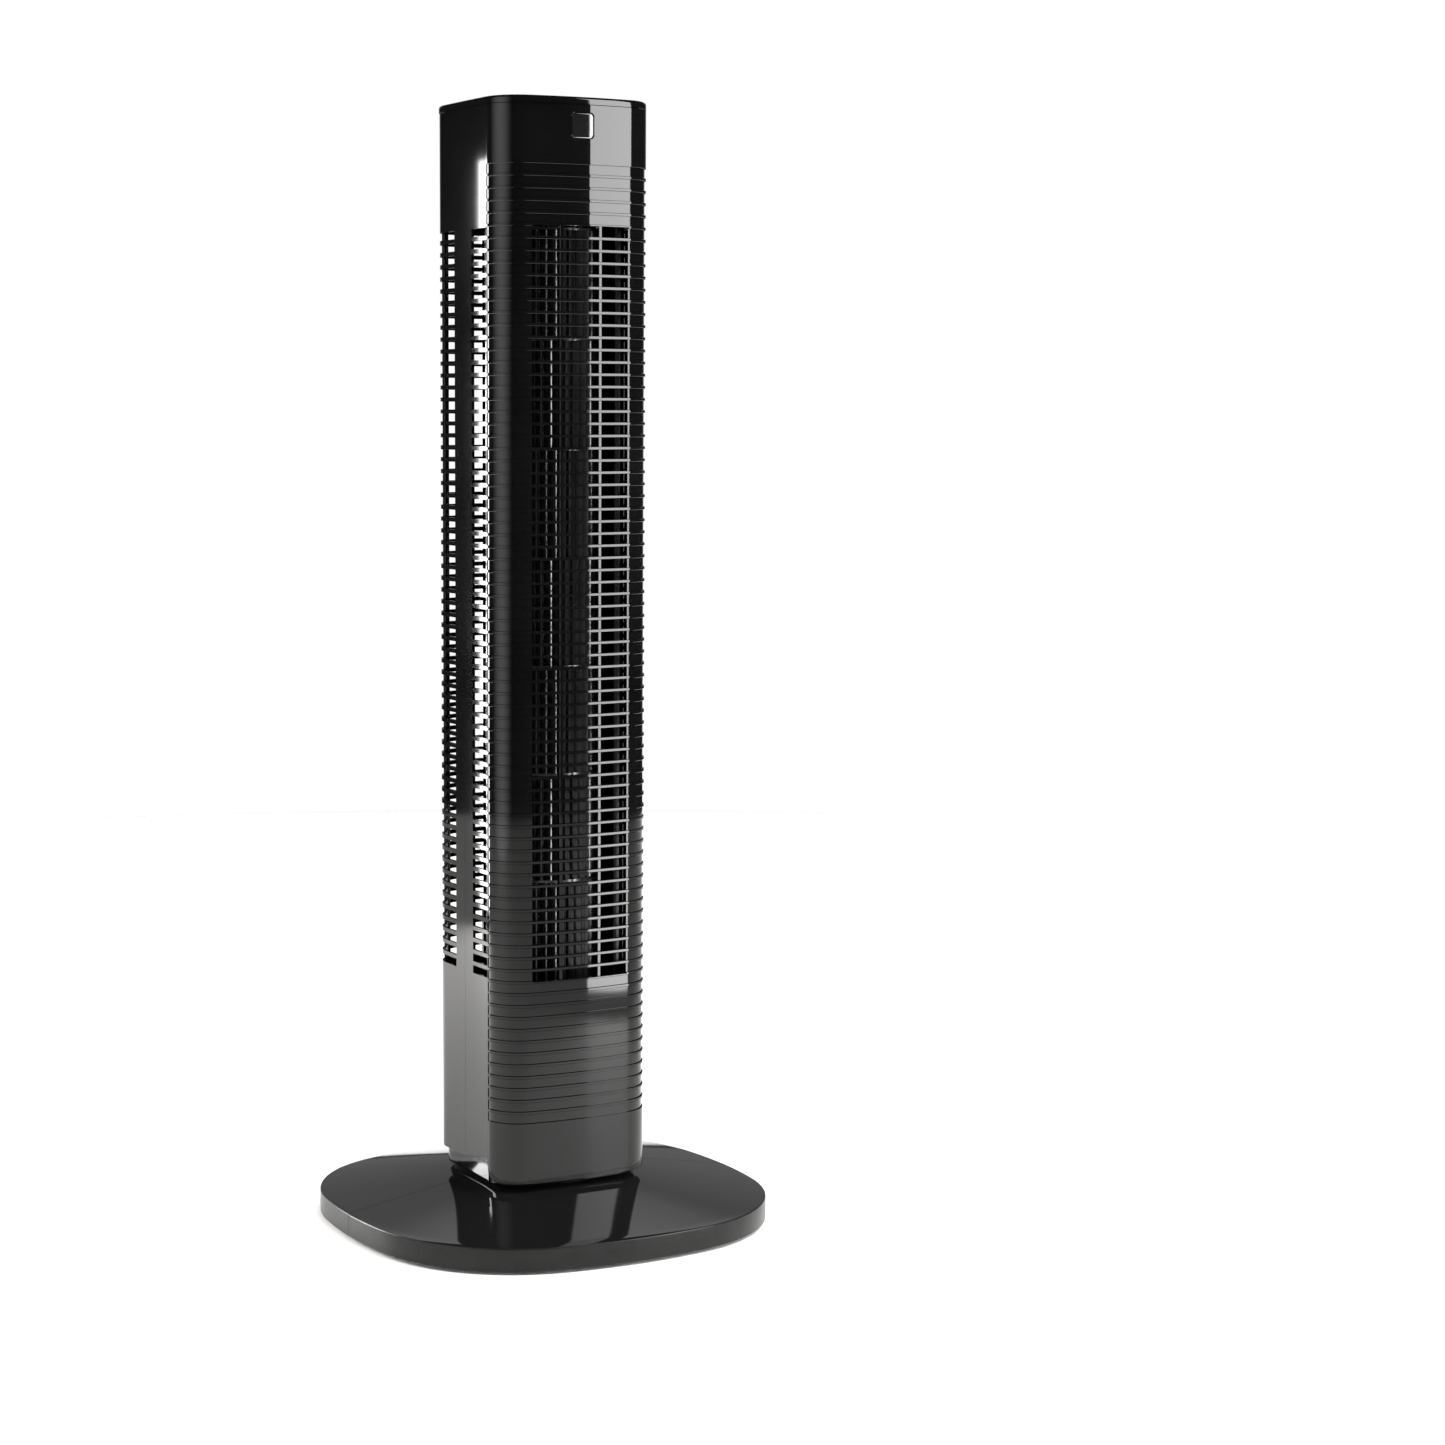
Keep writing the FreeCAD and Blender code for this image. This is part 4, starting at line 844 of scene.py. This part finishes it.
@dataclass
class Base:
    """Two-part base cover: an upright satin rim under a low gloss dome."""

    section: Section = field(default_factory=lambda: Section(
        182 * MM, 176 * MM, 396 * MM, 404 * MM, 135 * MM))
    foot: float = 3 * MM
    rim: float = 22 * MM
    rise: float = 19.5 * MM
    crown: float = 0.34
    thickness: float = 3.5 * MM
    round_rim: float = 1.3 * MM
    round_turn: float = 80.0
    round_rows: int = 7
    dome_rows: int = 34
    gloss_row: int = 9
    corner_step: float = 4 * MM
    face_step: float = 7 * MM
    post: float = 17 * MM
    seam: float = 0.3 * MM

    def dome(self, scale: np.ndarray) -> np.ndarray:
        """Height over the rim: rise x (1 - ((scale - crown) / (1 - crown)) ^ 1.1)."""
        share = np.clip((scale - self.crown) / (1 - self.crown), 0.0, 1.0)
        return self.rise * (1 - share ** 1.1)

    def profile(self) -> tuple[np.ndarray, np.ndarray, np.ndarray]:
        """Rows from the foot of the rim, round its upper edge and up the dome to the crown.

        Round the edge, inset = radius x (1 - cos) and level = radius x sin of the turn.  Up the
        dome, the outline is scaled down towards the crown.

        Returns:
            The scale, inset and level of each row.
        """
        turn = np.radians(np.linspace(0.0, self.round_turn, self.round_rows))
        start = 1 - self.round_rim / self.section.half_x
        shrink = np.linspace(start, self.crown, self.dome_rows)[1:]
        foot_inset = np.array([0.5, 0.12, 0.0, 0.0]) * MM
        foot_rise = np.array([0.0, 0.15, 0.5]) * MM
        low = self.rim - self.round_rim
        scale = np.concatenate([np.ones(len(foot_inset) + len(turn)), shrink])
        inset = np.concatenate([foot_inset, self.round_rim * (1 - np.cos(turn)),
                                np.zeros(len(shrink))])
        level = np.concatenate([self.foot + foot_rise, [low - 1 * MM],
                                low + self.round_rim * np.sin(turn),
                                self.rim + self.dome(shrink)])
        return scale, inset, level

    def half(self, rows: slice, front: bool) -> Mesh:
        """Outer and inner faces of a half: place = scale x section.xy(u, inset), at its level.

        Args:
            rows: which rows of the profile to use.
            front: whether it is the front half.

        Returns:
            Points and outward-facing quads.
        """
        reach = self.section.u_side(0.0)
        u = self.section.columns(-reach, reach, self.corner_step, self.face_step)
        scale, inset, level = (values[rows, None] for values in self.profile())
        faces = []
        for thick in (0.0, self.thickness):
            x, y = self.section.xy(np.broadcast_to(u, (len(scale), len(u))), inset + thick)
            z = np.broadcast_to(np.maximum(level - thick, self.foot), x.shape)
            faces.append(np.stack([x * scale, np.minimum(y * scale, -self.seam), z], -1))
        if rows.stop is None:
            faces = [np.concatenate([place, self._ring(place[-1:])]) for place in faces]
        outer, inner = faces
        points, quads = wall(outer, inner)
        if not front:
            points = points * np.array([1.0, -1.0, 1.0])
            quads = quads[:, ::-1]
        return points, quads

    def _ring(self, last: np.ndarray) -> np.ndarray:
        """The last row drawn in to the circle round the post: place x post / its distance.

        Args:
            last: places of the innermost row.

        Returns:
            The places of the row to add.
        """
        ring = last.copy()
        ring[..., :2] *= self.post / np.hypot(ring[..., 0], ring[..., 1])[..., None]
        ring[..., 1] = np.minimum(ring[..., 1], -self.seam)
        return ring

    def build(self) -> None:
        """Make the rim and the dome of each half."""
        zones = (("rim", slice(0, self.gloss_row + 1), RIM_SATIN, "satin_black"),
                 ("dome", slice(self.gloss_row, None), BASE_GLOSS, "gloss_black"))
        for front, node in ((True, "base_front_half"), (False, "base_rear_half")):
            for name, rows, finish, slot in zones:
                piece = make_piece(f"{node}_{name}", *self.half(rows, front), finish, "base",
                                   slot, crease=SOFT_CREASE)
                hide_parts(node)


@dataclass(frozen=True)
class Carried:
    """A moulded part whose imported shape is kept: it is welded, smoothed and dressed.

    Edges that turn more than the crease, in degrees, stay sharp.
    """

    node: str
    finish: Finish
    body: str
    slot: str
    crease: float = 28.0

    def build(self) -> None:
        """Make a welded, smooth-shaded piece from the node's mesh."""
        shape = bmesh.new()
        shape.from_mesh(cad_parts[self.node].data)
        bmesh.ops.remove_doubles(shape, verts=shape.verts, dist=TINY)
        name = f"{self.node}_moulding"
        mesh = bpy.data.meshes.new(name)
        shape.to_mesh(mesh)
        shape.free()
        mesh.materials.clear()
        mesh.materials.append(self.finish.material())
        mesh.polygons.foreach_set("use_smooth", np.ones(len(mesh.polygons), bool))
        mesh.polygons.foreach_set("material_index", np.zeros(len(mesh.polygons), np.int32))
        mesh.set_sharp_from_angle(angle=math.radians(self.crease))
        piece = bpy.data.objects.new(name, mesh)
        bpy.context.scene.collection.objects.link(piece)
        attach(piece, self.body)
        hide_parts(self.node)
        LOG.info("%s: %d faces, rides on %s", name, len(mesh.polygons), self.body)


@dataclass(frozen=True)
class Panel:
    """A rectangular light that stands round the fan and faces its axis.

    Its bearing is in degrees from the front (-Y) towards +X, its aim is the level that it faces,
    its size is width and height, and its power is in watts.
    """

    name: str
    bearing: float
    distance: float
    height: float
    aim: float
    size: tuple[float, float]
    power: float
    fade: Fade = Fade.NONE


PANELS = (
    Panel("key_strip", 36.8, 0.95, 0.78, aim=0.78, size=(0.275, 1.5), power=20.5),
    Panel("side_sheet", -139.5, 1.5, 0.5165, aim=0.5165, size=(0.50, 0.993), power=48.0),
    Panel("left_wash", -80.0, 2.0, 1.0, aim=0.65, size=(3.0, 2.2), power=50.0, fade=Fade.SIDES),
    Panel("rear_sweep", 152.0, 2.4, 1.0, aim=0.6, size=(2.8, 1.9), power=15.0,
          fade=Fade.UPWARDS),
)


@dataclass
class Studio:
    """Pale floor, soft panels and the camera; angles are in degrees."""

    camera_distance: float = 2.506
    camera_height: float = 0.6887
    azimuth: float = -27.49
    pitch: float = 6.01
    lens: float = 74.08
    sensor: float = 36.0
    shift: float = 0.125
    floor_hole: float = 0.001
    floor_radius: float = 2.6
    floor_rings: int = 14
    floor_spokes: int = 96
    sun_power: float = 4.1
    sun_spread: float = 50.0
    sun_tilt: tuple[float, float] = (14.0, 16.0)
    room: float = 0.012

    def floor(self) -> None:
        """Make a flat pale disc: point = radius x (cos, sin) of the angle."""
        turn = np.linspace(0, 2 * math.pi, self.floor_spokes + 1)[:-1]
        radius = np.linspace(self.floor_hole, self.floor_radius, self.floor_rings)[:, None]
        x, y = radius * np.cos(turn), radius * np.sin(turn)
        points = np.stack([x, y, np.zeros_like(x)], -1).reshape(-1, 3)
        mesh = bpy.data.meshes.new("studio_floor")
        faces = grid_faces(len(radius), len(turn), 0, True)
        mesh.from_pydata(points.tolist(), [], faces.tolist())
        mesh.materials.append(FLOOR.material())
        floor = bpy.data.objects.new("studio_floor", mesh)
        bpy.context.scene.collection.objects.link(floor)

    def panel(self, panel: Panel) -> None:
        """Add an area light that the camera doesn't see.

        Args:
            panel: what it is and where it stands.
        """
        data = bpy.data.lights.new(panel.name, "AREA")
        data.shape, data.energy = "RECTANGLE", panel.power
        data.size, data.size_y = panel.size
        if panel.fade is not Fade.NONE:
            self._fade(data, panel.fade)
        place = Vector(self.around(panel.bearing, panel.distance, panel.height))
        light = bpy.data.objects.new(panel.name, data)
        light.location = place
        facing = Vector((0.0, 0.0, panel.aim)) - place
        light.rotation_euler = facing.to_track_quat("-Z", "Y").to_euler()
        light.visible_camera = False
        bpy.context.scene.collection.objects.link(light)

    @staticmethod
    def _fade(data: bpy.types.Light, fade: Fade) -> None:
        """Grade a panel: strength follows a ramp of the place across it or up it.

        Args:
            data: the panel's light.
            fade: which way it falls off.
        """
        data.use_nodes = True
        nodes, links = data.node_tree.nodes, data.node_tree.links
        where, split = nodes.new("ShaderNodeNewGeometry"), nodes.new("ShaderNodeSeparateXYZ")
        ramp = nodes.new("ShaderNodeValToRGB")
        ramp.color_ramp.interpolation = "EASE"
        stops = FADE_STOPS[fade]
        for element, (position, level) in zip(ramp.color_ramp.elements, stops[::2]):
            element.position, element.color = position, (level, level, level, 1.0)
        position, level = stops[1]
        ramp.color_ramp.elements.new(position).color = (level, level, level, 1.0)
        links.new(where.outputs["Parametric"], split.inputs["Vector"])
        links.new(split.outputs["X" if fade is Fade.SIDES else "Y"], ramp.inputs["Fac"])
        links.new(ramp.outputs["Color"], nodes["Emission"].inputs["Strength"])

    def sky(self) -> None:
        """Even light from above that whitens the floor and isn't seen in the gloss."""
        data = bpy.data.lights.new("overhead", "SUN")
        data.energy, data.angle = self.sun_power, math.radians(self.sun_spread)
        light = bpy.data.objects.new("overhead", data)
        light.rotation_euler = (*(math.radians(tilt) for tilt in self.sun_tilt), 0.0)
        light.visible_glossy = False
        bpy.context.scene.collection.objects.link(light)

    def world(self) -> None:
        """White behind everything the camera sees, and a dim room in reflections."""
        world = bpy.data.worlds.new("studio_room")
        world.use_nodes = True
        nodes, links = world.node_tree.nodes, world.node_tree.links
        nodes.clear()
        path = nodes.new("ShaderNodeLightPath")
        mix = nodes.new("ShaderNodeMixShader")
        seen, dim = nodes.new("ShaderNodeBackground"), nodes.new("ShaderNodeBackground")
        seen.inputs["Color"].default_value = (1.0, 1.0, 1.0, 1.0)
        dim.inputs["Color"].default_value = (self.room, self.room, self.room, 1.0)
        output = nodes.new("ShaderNodeOutputWorld")
        links.new(path.outputs["Is Camera Ray"], mix.inputs["Fac"])
        links.new(dim.outputs["Background"], mix.inputs[1])
        links.new(seen.outputs["Background"], mix.inputs[2])
        links.new(mix.outputs["Shader"], output.inputs["Surface"])
        bpy.context.scene.world = world
        bpy.context.scene.view_settings.view_transform = "Standard"

    @staticmethod
    def around(bearing: float, distance: float, height: float) -> tuple[float, float, float]:
        """Place at a bearing b from the front: (distance x sin b, -distance x cos b, height)."""
        turn = math.radians(bearing)
        return (distance * math.sin(turn), -distance * math.cos(turn), height)

    def lights(self) -> None:
        """Panels whose reflections draw the body's edges, and a soft light from above."""
        for panel in PANELS:
            self.panel(panel)
        self.sky()

    def camera(self) -> None:
        """Camera at its azimuth, looking down by its pitch, with the view moved sideways.

        A camera turned 90 degrees about X looks level.
        """
        data = bpy.data.cameras.new("studio_camera")
        data.lens, data.sensor_width, data.shift_x = self.lens, self.sensor, self.shift
        camera = bpy.data.objects.new("studio_camera", data)
        camera.location = self.around(self.azimuth, self.camera_distance, self.camera_height)
        camera.rotation_euler = (math.radians(90.0 - self.pitch), 0.0,
                                 math.radians(self.azimuth))
        bpy.context.scene.collection.objects.link(camera)
        bpy.context.scene.camera = camera

    def build(self) -> None:
        """Set up the floor, the room, the lights and the camera."""
        self.floor()
        self.world()
        self.lights()
        self.camera()


def dress_nodes() -> None:
    """Give every CAD node that still shows the procedural finish of its slot."""
    for name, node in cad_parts.items():
        for slot in node.material_slots:
            if slot.material and slot.material.name in PACKED:
                slot.material = PACKED[slot.material.name].material()
        LOG.info("%s: dressed", name)


def main() -> None:
    """Build the fan's pieces in order, dress what the frame keeps, and set up the studio."""
    logging.basicConfig(level=logging.INFO, format="%(message)s")
    tower = Section(73.5 * MM, 72.2 * MM)
    Cover(tower).build()
    Neck(tower).build()
    Base().build()
    SlottedShell(tower).build()
    Carried("carry_handle", SATIN, "tower", "satin_black").build()
    Carried("top_cover", GLOSS, "tower", "gloss_black").build()
    for key in ("power", "swing", "speed", "mode", "timer"):
        Carried(f"{key}_button", SATIN, f"{key}_key", "satin_black").build()
    dress_nodes()
    Studio().build()


if __name__ == "__main__":
    main()
